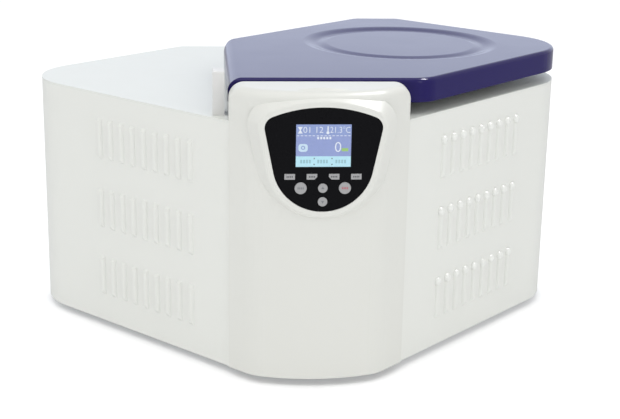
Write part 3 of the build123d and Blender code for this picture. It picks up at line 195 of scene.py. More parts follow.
def new_group(pattern: Pattern, inputs: dict[str, tuple[str, object]], outputs: tuple[str, ...],
              kind_out: str = FLOAT) -> NodeTree:
    """Make an empty shader node group with its sockets.

    Args:
        pattern: which group it is.
        inputs: socket name to its kind and default value.
        outputs: socket names.
        kind_out: the kind of the outputs.

    Returns:
        The group, with its input and output nodes in place.
    """
    tree = bpy.data.node_groups.new(pattern.value, "ShaderNodeTree")
    for label, (kind, default) in inputs.items():
        socket = tree.interface.new_socket(label, in_out="INPUT", socket_type=kind)
        if default is not None:
            socket.default_value = default
    for label in outputs:
        tree.interface.new_socket(label, in_out="OUTPUT", socket_type=kind_out)
    tree.nodes.new("NodeGroupInput")
    tree.nodes.new("NodeGroupOutput")
    return tree


def ends(tree: NodeTree) -> tuple[Node, Node]:
    """The input and output nodes of a group."""
    return tree.nodes["Group Input"], tree.nodes["Group Output"]


def tone_drift_group() -> NodeTree:
    """Make slow and fine changes of a colour over a large surface.

    Returns:
        The group.
    """
    tree = new_group(
        Pattern.TONE_DRIFT,
        {"Vector": (VECTOR, None), "Colour": (COLOUR, (0.8, 0.8, 0.8, 1.0)), "Amount": (FLOAT, 0.04),
         "Scale": (FLOAT, 6.0)},
        ("Colour",),
        COLOUR,
    )
    given, out = ends(tree)
    where, scale = given.outputs["Vector"], given.outputs["Scale"]
    slow = noise_node(tree, where, scale, detail=2.0)
    fine = noise_node(tree, where, times(tree, scale, FINE_SCALE), detail=4.0)
    mask = add(tree, times(tree, slow, SLOW_SHARE), times(tree, fine, FINE_SHARE))
    swing = times(tree, minus(tree, mask, NOISE_MIDDLE), given.outputs["Amount"])
    bright = tree.nodes.new("ShaderNodeHueSaturation")
    tree.links.new(given.outputs["Colour"], bright.inputs["Color"])
    tree.links.new(add(tree, swing, 1.0), bright.inputs["Value"])
    tree.links.new(bright.outputs["Color"], out.inputs["Colour"])
    return tree


def coat_grain_group() -> NodeTree:
    """Make the fine orange peel of a powder coat or of a moulding's texture.

    Returns:
        The group.
    """
    tree = new_group(
        Pattern.COAT_GRAIN,
        {"Vector": (VECTOR, None), "Scale": (FLOAT, 900.0), "Waviness": (FLOAT, 0.4)},
        ("Height", "Mask"),
    )
    given, out = ends(tree)
    where, scale = given.outputs["Vector"], given.outputs["Scale"]
    fine = noise_node(tree, where, scale, detail=2.0)
    wave = noise_node(tree, where, times(tree, scale, WAVE_SCALE), detail=1.0)
    height = add(tree, fine, times(tree, wave, given.outputs["Waviness"]))
    tree.links.new(height, out.inputs["Height"])
    tree.links.new(wave, out.inputs["Mask"])
    return tree


def turning_marks_group() -> NodeTree:
    """Make fine rings round an upright axis, as spinning and turning leave.

    Returns:
        The group.
    """
    tree = new_group(
        Pattern.TURNING_MARKS,
        {"Vector": (VECTOR, None), "Centre X": (FLOAT, 0.0), "Centre Y": (FLOAT, 0.0),
         "Rings": (FLOAT, 900.0)},
        ("Height",),
    )
    given, out = ends(tree)
    split = tree.nodes.new("ShaderNodeSeparateXYZ")
    tree.links.new(given.outputs["Vector"], split.inputs[0])
    across = minus(tree, split.outputs["X"], given.outputs["Centre X"])
    along = minus(tree, split.outputs["Y"], given.outputs["Centre Y"])
    square = add(tree, times(tree, across, across), times(tree, along, along))
    place = tree.nodes.new("ShaderNodeCombineXYZ")
    tree.links.new(math_node(tree, "SQRT", square), place.inputs["X"])
    tree.links.new(split.outputs["Z"], place.inputs["Y"])
    rings = noise_node(tree, place.outputs[0], given.outputs["Rings"], detail=3.0)
    tree.links.new(rings, out.inputs["Height"])
    return tree


def settled_dust_group() -> NodeTree:
    """Make a mask of thin dust on faces that look up.

    Returns:
        The group.
    """
    tree = new_group(
        Pattern.SETTLED_DUST, {"Vector": (VECTOR, None), "Amount": (FLOAT, 0.2)}, ("Mask",)
    )
    given, out = ends(tree)
    split = tree.nodes.new("ShaderNodeSeparateXYZ")
    tree.links.new(tree.nodes.new("ShaderNodeNewGeometry").outputs["Normal"], split.inputs[0])
    up = math_node(tree, "MAXIMUM", split.outputs["Z"], 0.0)
    cloud = noise_node(tree, given.outputs["Vector"], DUST_SCALE, detail=5.0)
    mask = times(tree, times(tree, up, cloud), given.outputs["Amount"])
    tree.links.new(mask, out.inputs["Mask"])
    return tree


GROUP_MAKERS: dict[Pattern, Callable[[], NodeTree]] = {
    Pattern.TONE_DRIFT: tone_drift_group,
    Pattern.COAT_GRAIN: coat_grain_group,
    Pattern.TURNING_MARKS: turning_marks_group,
    Pattern.SETTLED_DUST: settled_dust_group,
}


def shared_group(pattern: Pattern) -> NodeTree:
    """One of the shared node groups, made the first time that it is asked for."""
    return bpy.data.node_groups.get(pattern.value) or GROUP_MAKERS[pattern]()


# Finishes

DUST_COLOUR: Colour = (0.62, 0.61, 0.58)


@dataclass(frozen=True)
class Finish:
    """A finish with a slow drift of tone and a fine grain.

    Scales of drift and grain are in cycles per metre, and depths are in metres.
    """

    name: str
    colour: Colour
    gloss: Gloss = Gloss.SATIN
    metallic: float = 0.0
    specular: float = 0.5
    coat: float = 0.0
    drift: float = 0.05
    drift_scale: float = 5.0
    grain: float = 900.0
    grain_depth: float = 0.00001
    waviness: float = 0.4
    dust: float = 0.0
    roughness_swing: float = 0.06

    def build(self) -> bpy.types.Material:
        """Make the material once, and give it each time after.

        Returns:
            The material.
        """
        known = bpy.data.materials.get("finish_" + self.name)
        if known:
            return known
        material = bpy.data.materials.new("finish_" + self.name)
        material.use_nodes = True
        tree = material.node_tree
        shader = tree.nodes["Principled BSDF"]
        shader.inputs["Metallic"].default_value = self.metallic
        shader.inputs["Specular IOR Level"].default_value = self.specular
        shader.inputs["Coat Weight"].default_value = self.coat
        shader.inputs["Coat Roughness"].default_value = Gloss.MIRROR.value
        where = tree.nodes.new("ShaderNodeTexCoord").outputs["Object"]
        self.paint(tree, shader, where)
        return material

    def shade(self, factor: float) -> Colour:
        """The finish's colour, darkened by a factor."""
        return tuple(factor * part for part in self.colour)

    def place_group(self, tree: NodeTree, pattern: Pattern, where: Socket, **values: object) -> Node:
        """Put a shared group into the material.

        Args:
            tree: the material's node tree.
            pattern: which group.
            where: its coordinates.
            values: its other inputs, with an underscore for each space in a name.

        Returns:
            The group's node.
        """
        node = tree.nodes.new("ShaderNodeGroup")
        node.node_tree = shared_group(pattern)
        tree.links.new(where, node.inputs["Vector"])
        for label, value in values.items():
            node.inputs[label.replace("_", " ")].default_value = value
        return node

    def tone(self, tree: NodeTree, where: Socket) -> Socket:
        """The finish's colour with its slow drift.

        Args:
            tree: the material's node tree.
            where: the drift's coordinates.

        Returns:
            The colour.
        """
        drift = self.place_group(
            tree, Pattern.TONE_DRIFT, where,
            Colour=(*self.colour, 1.0), Amount=self.drift, Scale=self.drift_scale,
        )
        return drift.outputs["Colour"]

    def relief(self, tree: NodeTree, shader: Node, height: Socket) -> None:
        """Feed a height into the shader's normal, as deep as the finish's grain.

        Args:
            tree: the material's node tree.
            shader: its Principled shader.
            height: the height, which the grain's depth scales.
        """
        bump = tree.nodes.new("ShaderNodeBump")
        bump.inputs["Strength"].default_value = 1.0
        bump.inputs["Distance"].default_value = self.grain_depth
        tree.links.new(height, bump.inputs["Height"])
        tree.links.new(bump.outputs["Normal"], shader.inputs["Normal"])

    def vary_roughness(self, tree: NodeTree, shader: Node, mask: Socket) -> None:
        """Let a mask swing the roughness a little about the finish's own.

        Args:
            tree: the material's node tree.
            shader: its Principled shader.
            mask: the mask, from 0 to 1.
        """
        low = self.gloss.value - self.roughness_swing / 2
        level = add(tree, times(tree, mask, self.roughness_swing), low)
        tree.links.new(level, shader.inputs["Roughness"])

    def paint(self, tree: NodeTree, shader: Node, where: Socket) -> None:
        """Fill the material with its tone, roughness and relief.

        Args:
            tree: the material's node tree.
            shader: its Principled shader.
            where: the object's own coordinates.
        """
        colour = self.tone(tree, where)
        if self.dust:
            settled = self.place_group(tree, Pattern.SETTLED_DUST, where, Amount=self.dust)
            colour = mix_colour(tree, settled.outputs["Mask"], colour, DUST_COLOUR)
        tree.links.new(colour, shader.inputs["Base Color"])
        grain = self.place_group(tree, Pattern.COAT_GRAIN, where, Scale=self.grain, Waviness=self.waviness)
        self.vary_roughness(tree, shader, grain.outputs["Mask"])
        self.relief(tree, shader, grain.outputs["Height"])


@dataclass(frozen=True)
class TurnedMetal(Finish):
    """Bare metal with fine rings round an upright axis."""

    centre: Pair = (0.0, 0.0)
    rings: float = 900.0
    ring_share: float = 0.5
    ring_tone: float = 0.82

    def paint(self, tree: NodeTree, shader: Node, where: Socket) -> None:
        """Fill the material with its rings, in tone, roughness and relief.

        Args:
            tree: the material's node tree.
            shader: its Principled shader.
            where: the object's own coordinates.
        """
        marks = self.place_group(
            tree, Pattern.TURNING_MARKS, where,
            Centre_X=self.centre[0], Centre_Y=self.centre[1], Rings=self.rings,
        )
        height = marks.outputs["Height"]
        tone = self.tone(tree, where)
        share = times(tree, height, self.ring_share)
        ringed = mix_colour(tree, share, tone, self.shade(self.ring_tone))
        tree.links.new(ringed, shader.inputs["Base Color"])
        self.vary_roughness(tree, shader, height)
        self.relief(tree, shader, height)


@dataclass(frozen=True)
class BrushedMetal(Finish):
    """Bare sheet with fine lines along X."""

    stretch: Triple = (0.02, 1.0, 1.0)

    def paint(self, tree: NodeTree, shader: Node, where: Socket) -> None:
        """Fill the material with its tone, and its lines in roughness and relief.

        Args:
            tree: the material's node tree.
            shader: its Principled shader.
            where: the object's own coordinates.
        """
        stretch = tree.nodes.new("ShaderNodeMapping")
        stretch.inputs["Scale"].default_value = self.stretch
        tree.links.new(where, stretch.inputs["Vector"])
        lines = noise_node(tree, stretch.outputs["Vector"], self.grain, detail=3.0)
        tree.links.new(self.tone(tree, where), shader.inputs["Base Color"])
        self.vary_roughness(tree, shader, lines)
        self.relief(tree, shader, lines)


@dataclass(frozen=True)
class Foam(Finish):
    """Closed-cell foam: pale, with small rounded cells."""

    cell_share: float = 0.9
    cell_tone: float = 0.72

    def paint(self, tree: NodeTree, shader: Node, where: Socket) -> None:
        """Fill the material with its cells, in tone, roughness and relief.

        Args:
            tree: the material's node tree.
            shader: its Principled shader.
            where: the object's own coordinates.
        """
        cells = tree.nodes.new("ShaderNodeTexVoronoi")
        cells.inputs["Scale"].default_value = self.grain
        tree.links.new(where, cells.inputs["Vector"])
        depth = cells.outputs["Distance"]
        share = times(tree, depth, self.cell_share)
        tone = mix_colour(tree, share, self.colour, self.shade(self.cell_tone))
        tree.links.new(tone, shader.inputs["Base Color"])
        self.vary_roughness(tree, shader, depth)
        self.relief(tree, shader, depth)


@dataclass(frozen=True)
class Lit(Finish):
    """A lit patch of the screen, slightly uneven."""

    glow: float = 1.0
    unlit: Colour = (0.01, 0.01, 0.01)
    patch_scale: float = 160.0
    patch_tone: float = 0.88

    def paint(self, tree: NodeTree, shader: Node, where: Socket) -> None:
        """Fill the material with light that a fine noise dims a little.

        Args:
            tree: the material's node tree.
            shader: its Principled shader.
            where: the object's own coordinates.
        """
        patches = noise_node(tree, where, self.patch_scale, detail=2.0)
        colour = mix_colour(tree, patches, self.colour, self.shade(self.patch_tone))
        tree.links.new(colour, shader.inputs["Emission Color"])
        shader.inputs["Emission Strength"].default_value = self.glow
        shader.inputs["Base Color"].default_value = (*self.unlit, 1.0)
        shader.inputs["Roughness"].default_value = self.gloss.value


@dataclass(frozen=True)
class ClearPlate(Finish):
    """The clear plate over the screen."""

    ior: float = 1.49
    smear: float = 0.06
    smear_scale: float = 60.0

    def paint(self, tree: NodeTree, shader: Node, where: Socket) -> None:
        """Fill the material: clear plastic with the faintest smear of roughness.

        Args:
            tree: the material's node tree.
            shader: its Principled shader.
            where: the object's own coordinates.
        """
        shader.inputs["Transmission Weight"].default_value = 1.0
        shader.inputs["IOR"].default_value = self.ior
        shader.inputs["Base Color"].default_value = (*self.colour, 1.0)
        smears = noise_node(tree, where, self.smear_scale, detail=4.0)
        tree.links.new(times(tree, smears, self.smear), shader.inputs["Roughness"])


BOWL_CENTRE: Pair = (
    (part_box("bowl")[0].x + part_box("bowl")[1].x) / 2,
    (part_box("bowl")[0].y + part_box("bowl")[1].y) / 2,
)

POWDER_WHITE = Finish(
    "powder_white", (0.71, 0.72, 0.685), Gloss.SATIN, drift=0.02, grain=700.0, grain_depth=0.000004
)
# Painted highlight: a lighter copy of the walls' powder white, so the domed louvre crowns on the right wall
# show as bright dots.
CROWN_HIGHLIGHT_WHITE = Finish(
    "crown_highlight_white", (0.76, 0.77, 0.74), Gloss.SEMI_GLOSS, drift=0.02, grain=900.0, grain_depth=0.000002
)
DECK_WHITE = Finish(
    "deck_white", (0.68, 0.695, 0.66), Gloss.SATIN, drift=0.02, grain=700.0, grain_depth=0.000004
)
MOULDED_WHITE = Finish(
    "moulded_white", (0.67, 0.675, 0.638), Gloss.SATIN, specular=0.4, drift=0.01, grain=1500.0,
    grain_depth=0.0000005, waviness=0.05, roughness_swing=0.03,
)
POST_WHITE = Finish(
    "post_white", (0.67, 0.67, 0.66), Gloss.SOFT, drift=0.02, grain=1500.0, grain_depth=0.000001
)
LID_BLUE = Finish(
    "lid_blue", (0.013, 0.008, 0.088), Gloss.POLISHED, specular=0.22, drift=0.04, grain=260.0,
    grain_depth=0.000002, waviness=1.5,
)
LINER_GREY = Finish("liner_grey", (0.40, 0.41, 0.43), Gloss.SATIN, drift=0.04, grain=1300.0)
SHIELD_BLACK = Finish(
    "shield_black", (0.004, 0.004, 0.005), Gloss.SEMI_GLOSS, specular=0.08, drift=0.1, grain=2200.0,
    grain_depth=0.000002,
)
KEY_GREY = Finish(
    "key_grey", (0.33, 0.33, 0.335), Gloss.SATIN, drift=0.05, drift_scale=40.0, grain=2600.0,
    grain_depth=0.000004,
)
MARK_DARK = Finish("mark_dark", (0.07, 0.07, 0.08), Gloss.MATT, grain=3000.0)
MARK_FAINT = Finish("mark_faint", (0.17, 0.175, 0.19), Gloss.MATT, grain=3000.0)
MARK_RED = Finish("mark_red", (0.42, 0.10, 0.13), Gloss.MATT, grain=3000.0)
GREY_COAT = Finish("grey_coat", (0.50, 0.52, 0.53), Gloss.SOFT, drift=0.06, grain=600.0, dust=0.1)
BOARD_GREEN = Finish(
    "board_green", (0.03, 0.17, 0.07), Gloss.SEMI_GLOSS, drift=0.3, drift_scale=60.0, grain=800.0
)
BLACK_PLASTIC = Finish("black_plastic", (0.018, 0.018, 0.02), Gloss.SATIN, drift=0.15, grain=1500.0)
BLACK_ENAMEL = Finish("black_enamel", (0.012, 0.012, 0.013), Gloss.SEMI_GLOSS, coat=0.3, grain=300.0)
KNOB_BLACK = Finish(
    "knob_black", (0.02, 0.02, 0.022), Gloss.SOFT, drift=0.2, drift_scale=50.0, grain=1800.0
)
RUBBER = Finish(
    "rubber", (0.022, 0.022, 0.024), Gloss.MATT, specular=0.3, drift=0.3, drift_scale=40.0, grain=1600.0,
    grain_depth=0.00008, dust=0.2,
)
GASKET = Finish(
    "gasket", (0.03, 0.03, 0.033), Gloss.SOFT, specular=0.35, drift=0.2, drift_scale=30.0, grain=1600.0,
    grain_depth=0.00004,
)
FOAM = Foam("foam", (0.74, 0.70, 0.56), Gloss.RAW, grain=420.0, grain_depth=0.0003)
BOWL_STEEL = TurnedMetal(
    "bowl_steel", (0.60, 0.60, 0.59), Gloss.SEMI_GLOSS, metallic=1.0, grain_depth=0.00003,
    centre=BOWL_CENTRE, rings=500.0,
)
ROTOR_METAL = TurnedMetal(
    "rotor_metal", (0.53, 0.54, 0.57), Gloss.SEMI_GLOSS, metallic=1.0, grain_depth=0.00005,
    centre=BOWL_CENTRE, rings=1200.0,
)
BRIGHT_STEEL = TurnedMetal(
    "bright_steel", (0.66, 0.66, 0.66), Gloss.POLISHED, metallic=1.0, grain_depth=0.00001,
    centre=BOWL_CENTRE, rings=1500.0,
)
PLATED_SHEET = BrushedMetal(
    "plated_sheet", (0.52, 0.53, 0.54), Gloss.SEMI_GLOSS, metallic=1.0, grain=2400.0, grain_depth=0.00003
)
CAST_METAL = Finish(
    "cast_metal", (0.55, 0.56, 0.57), Gloss.SATIN, metallic=0.9, drift=0.15, grain=500.0, grain_depth=0.0001
)
COPPER = Finish(
    "copper", (0.72, 0.33, 0.19), Gloss.SEMI_GLOSS, metallic=1.0, drift=0.25, drift_scale=30.0, grain=400.0
)
CLEAR_PLATE = ClearPlate("clear_plate", (0.96, 0.97, 0.98))
SCREEN_TOP = Lit("screen_top", (0.275, 0.36, 0.68))
SCREEN_MIDDLE = Lit("screen_middle", (0.29, 0.36, 0.68))
SCREEN_FOOT = Lit("screen_foot", (0.52, 0.86, 0.98))
SCREEN_PALE = Lit("screen_pale", (0.85, 0.90, 0.98))
SCREEN_ICE = Lit("screen_ice", (0.62, 0.80, 0.95))
SCREEN_GREEN = Lit("screen_green", (0.35, 0.62, 0.16))
SCREEN_GREY = Lit("screen_grey", (0.32, 0.58, 0.66))


# Making pieces

TRIANGLE_SIDES = 3
CORNER_STEPS = 4      # flats round a plate's corner
CURVE_STEPS = 4       # flats to each curved stretch of a figure
LETTER_SIZE = 1.38    # the font's size against a figure's height
STROKE_TRIM = 0.012   # what comes off each side of a stroke, against a figure's height


def finish_piece(name: str, mesh: Mesh, finish: Finish, body: str,
                 smooth: bool = False) -> None:
    """Turn a bmesh into a piece that rides on a body.

    Args:
        name: the piece's name.
        mesh: the shape, in the row frame, in metres.
        finish: what it is made of.
        body: the CAD body that it moves with.
        smooth: whether its faces shade smoothly.
    """
    data = bpy.data.meshes.new(name)
    for face in mesh.faces:
        face.smooth = smooth
    mesh.to_mesh(data)
    mesh.free()
    piece = bpy.data.objects.new(name, data)
    bpy.context.scene.collection.objects.link(piece)
    piece.data.materials.append(finish.build())
    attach(piece, body)
    log.info("piece %s on %s", name, body)


def dress(node: str, finish: Finish) -> None:
    """Give a CAD node its material.

    Args:
        node: the node's name.
        finish: what it is made of.
    """
    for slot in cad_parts[node].material_slots:
        slot.material = finish.build()
    log.info("node %s: %s", node, finish.name)


def stand_up(mesh: Mesh, x: float, y: float, z: float) -> None:
    """Stand a flat shape drawn in X and Y upright, looking to the front.

    Args:
        mesh: the shape.
        x: where its middle goes, in metres.
        y: where its back goes.
        z: where its middle goes.
    """
    turn = Matrix.Rotation(math.radians(90.0), 4, "X")
    bmesh.ops.transform(mesh, matrix=Matrix.Translation((x, y, z)) @ turn, verts=mesh.verts)


def plate(width: float, height: float, thick: float, corner: float = 0.0) -> Mesh:
    """Make a thin plate in the XY plane, its back at Z = 0.

    Args:
        width: its size along X.
        height: its size along Y.
        thick: its size along Z.
        corner: the radius of its four corners, or 0 for sharp ones.

    Returns:
        The plate, in the middle of the plane.
    """
    mesh = bmesh.new()
    bmesh.ops.create_cube(mesh, size=1.0)
    bmesh.ops.scale(mesh, vec=(width, height, thick), verts=mesh.verts)
    bmesh.ops.translate(mesh, vec=(0.0, 0.0, thick / 2), verts=mesh.verts)
    if corner:
        upright = [e for e in mesh.edges if abs(e.verts[0].co.z - e.verts[1].co.z) > thick / 2]
        bmesh.ops.bevel(
            mesh, geom=upright, offset=corner, segments=CORNER_STEPS, profile=0.5, affect="EDGES",
            material=-1,
        )
    return mesh


def disc(radius: float, thick: float, segments: int = 40) -> Mesh:
    """Make a thin round plate in the XY plane, its back at Z = 0.

    Args:
        radius: its radius.
        thick: its size along Z.
        segments: how many sides it has.

    Returns:
        The plate, in the middle of the plane.
    """
    mesh = bmesh.new()
    bmesh.ops.create_cone(
        mesh, cap_ends=True, segments=segments, radius1=radius, radius2=radius, depth=thick
    )
    bmesh.ops.translate(mesh, vec=(0.0, 0.0, thick / 2), verts=mesh.verts)
    return mesh


def pointer(radius: float, thick: float, degrees: float) -> Mesh:
    """Make a thin triangle in the XY plane, its back at Z = 0.

    Args:
        radius: how far its corners lie from its middle.
        thick: its size along Z.
        degrees: how far it is turned from pointing up.

    Returns:
        The triangle, in the middle of the plane.
    """
    mesh = disc(radius, thick, TRIANGLE_SIDES)
    bmesh.ops.transform(mesh, matrix=Matrix.Rotation(math.radians(degrees), 4, "Z"), verts=mesh.verts)
    return mesh


def figures(text: str, height: float, thick: float, narrow: float = 1.0) -> Mesh:
    """Make plain figures in the XY plane, their backs at Z = 0.

    Args:
        text: the figures.
        height: their height.
        thick: how far they stand out.
        narrow: a factor on their width.

    Returns:
        The figures as one mesh, in the middle of the plane.
    """
    curve = bpy.data.curves.new("figures", "FONT")
    curve.body = text
    curve.size = height * LETTER_SIZE
    curve.extrude = thick / 2
    curve.offset = -STROKE_TRIM * height
    curve.align_x = "CENTER"
    curve.align_y = "CENTER"
    curve.resolution_u = CURVE_STEPS
    holder = bpy.data.objects.new("figures", curve)
    bpy.context.scene.collection.objects.link(holder)
    bpy.context.view_layer.update()
    data = bpy.data.meshes.new_from_object(holder.evaluated_get(bpy.context.evaluated_depsgraph_get()))
    mesh = bmesh.new()
    mesh.from_mesh(data)
    bmesh.ops.translate(mesh, vec=(0.0, 0.0, thick / 2), verts=mesh.verts)
    bmesh.ops.scale(mesh, vec=(narrow, 1.0, 1.0), verts=mesh.verts)
    bpy.data.objects.remove(holder)
    bpy.data.curves.remove(curve)
    bpy.data.meshes.remove(data)
    return mesh


# Sub-assemblies


@dataclass
class DressedNodes:
    """CAD nodes that only need their finishes."""

    finishes: dict[str, Finish] = field(default_factory=dict)

    def build(self) -> None:
        """Dress every node in its finish."""
        for node, finish in self.finishes.items():
            dress(node, finish)


@dataclass
class Cabinet(DressedNodes):
    """Walls, deck, floor tray, back panel, feet and the post beside the lid."""

    finishes: dict[str, Finish] = field(default_factory=lambda: {
        "right_side_panel": POWDER_WHITE,
        "left_side_panel": POWDER_WHITE,
        "top_deck": DECK_WHITE,
        "side_post": POST_WHITE,
        "control_column": MOULDED_WHITE,
        "back_panel": GREY_COAT,
        "base_pan": GREY_COAT,
        "back_screws": BRIGHT_STEEL,
        "rubber_feet": RUBBER,
    })


@dataclass
class LouvreCrowns:
    """The domed upper ends of the pressed louvres, which catch the light on the right wall, in a lighter
    white that paints a highlight on them.

    Lengths along the wall run from its sharp front end, and heights run down from the deck's top.
    """

    rows: int = 3
    columns: int = 9
    front_half: float = 61.8 * MM
    bezel_proud: float = 4.5 * MM
    pitch: float = 20.9 * MM
    row_pitch: float = 94.4 * MM
    start: float = 148.0 * MM
    top: float = 34.0 * MM
    inset: float = 3.6 * MM
    back_off: float = 1.3 * MM
    radii: Triple = (5.8 * MM, 4.9 * MM, 6.0 * MM)
    wall_angle: float = 45.0
    slices: int = 12
    stacks: int = 8

    def build(self) -> None:
        """Dome the upper end of every louvre of the right wall."""
        face_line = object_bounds()[0].y + self.bezel_proud
        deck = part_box("top_deck")[1].z
        mesh = bmesh.new()
        for row in range(self.rows):
            height = deck - self.top - row * self.row_pitch - self.inset
            for column in range(self.columns):
                along = (self.start + column * self.pitch - self.back_off) / math.sqrt(2)
                self.dome(mesh, Vector((self.front_half + along, face_line + along, height)))
        # The crowns' lighter white is a painted highlight.
        finish_piece("louvre_crowns", mesh, CROWN_HIGHLIGHT_WHITE, "root", smooth=True)

    def dome(self, mesh: Mesh, spot: Vector) -> None:
        """Add one dome, as a squat ball that is half sunk in the wall.

        Args:
            mesh: what it is added to.
            spot: its middle, in metres.
        """
        turn = Matrix.Rotation(math.radians(self.wall_angle), 4, "Z")
        place = Matrix.Translation(spot) @ turn @ Matrix.Diagonal((*self.radii, 1.0))
        head, *rings, foot = [
            [mesh.verts.new(place @ point) for point in self.ring(row)] for row in range(self.stacks + 1)
        ]
        for column in range(self.slices):
            after = (column + 1) % self.slices
            mesh.faces.new((head[0], rings[0][column], rings[0][after]))
            for upper, lower in zip(rings, rings[1:]):
                mesh.faces.new((upper[column], lower[column], lower[after], upper[after]))
            mesh.faces.new((foot[0], rings[-1][after], rings[-1][column]))

    def ring(self, row: int) -> list[Vector]:
        """One ring of points on a ball of radius 1, or the one point at an end of it.

        Args:
            row: the ring's number, from 0 at the top to the number of stacks at the foot.

        Returns:
            The ring's points, in order.
        """
        fall = math.pi * row / self.stacks
        reach, height = math.sin(fall), math.cos(fall)
        if row in (0, self.stacks):
            return [Vector((0.0, 0.0, height))]
        turns = [math.tau * column / self.slices for column in range(self.slices)]
        return [Vector((reach * math.cos(turn), reach * math.sin(turn), height)) for turn in turns]


@dataclass
class Keypad:
    """The black shield's keys, with generic marks on their caps."""

    soft_keys: int = 4
    bars_on_key: int = 4
    mark_thick: float = 0.05 * MM
    bar_width: float = 1.2 * MM
    soft_bar: float = 2.08 * MM
    round_bar: float = 2.6 * MM
    bar_corner: float = 0.3 * MM
    bar_step: float = 2.0 * MM
    pointer_radius: float = 2.2 * MM

    def build(self) -> None:
        """Dress the shield and the keys, and add the marks."""
        dress("keypad_shield", SHIELD_BLACK)
        dress("key_board", BOARD_GREEN)
        for number in range(1, self.soft_keys + 1):
            self.bars(f"soft_key_{number}", MARK_DARK, self.soft_bar)
        self.bars("start_key", MARK_FAINT, self.round_bar)
        self.bars("stop_key", MARK_RED, self.round_bar)
        self.pointer_mark("up_key", 0.0)
        self.pointer_mark("down_key", 180.0)

    def face_of(self, key: str) -> Vector:
        """Dress a key, and find its front face.

        Args:
            key: the key's node.

        Returns:
            The middle of the face, in metres.
        """
        dress(key, KEY_GREY)
        low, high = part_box(key)
        return Vector(((low.x + high.x) / 2, low.y, (low.z + high.z) / 2))

    def pointer_mark(self, key: str, degrees: float) -> None:
        """Put a small triangle on a key.

        Args:
            key: the key's node.
            degrees: how far the triangle is turned from pointing up.
        """
        spot = self.face_of(key)
        mesh = pointer(self.pointer_radius, self.mark_thick, degrees)
        stand_up(mesh, spot.x, spot.y, spot.z)
        finish_piece(f"{key}_mark", mesh, MARK_FAINT, key)

    def bars(self, key: str, finish: Finish, height: float) -> None:
        """Put a row of small plain bars on a key.

        Args:
            key: the key's node.
            finish: what the bars are made of.
            height: the height of a bar, in metres.
        """
        spot = self.face_of(key)
        for number in range(self.bars_on_key):
            along = (number - (self.bars_on_key - 1) / 2) * self.bar_step
            bar = plate(self.bar_width, height, self.mark_thick, self.bar_corner)
            stand_up(bar, spot.x + along, spot.y, spot.z)
            finish_piece(f"{key}_bar_{number + 1}", bar, finish, key)


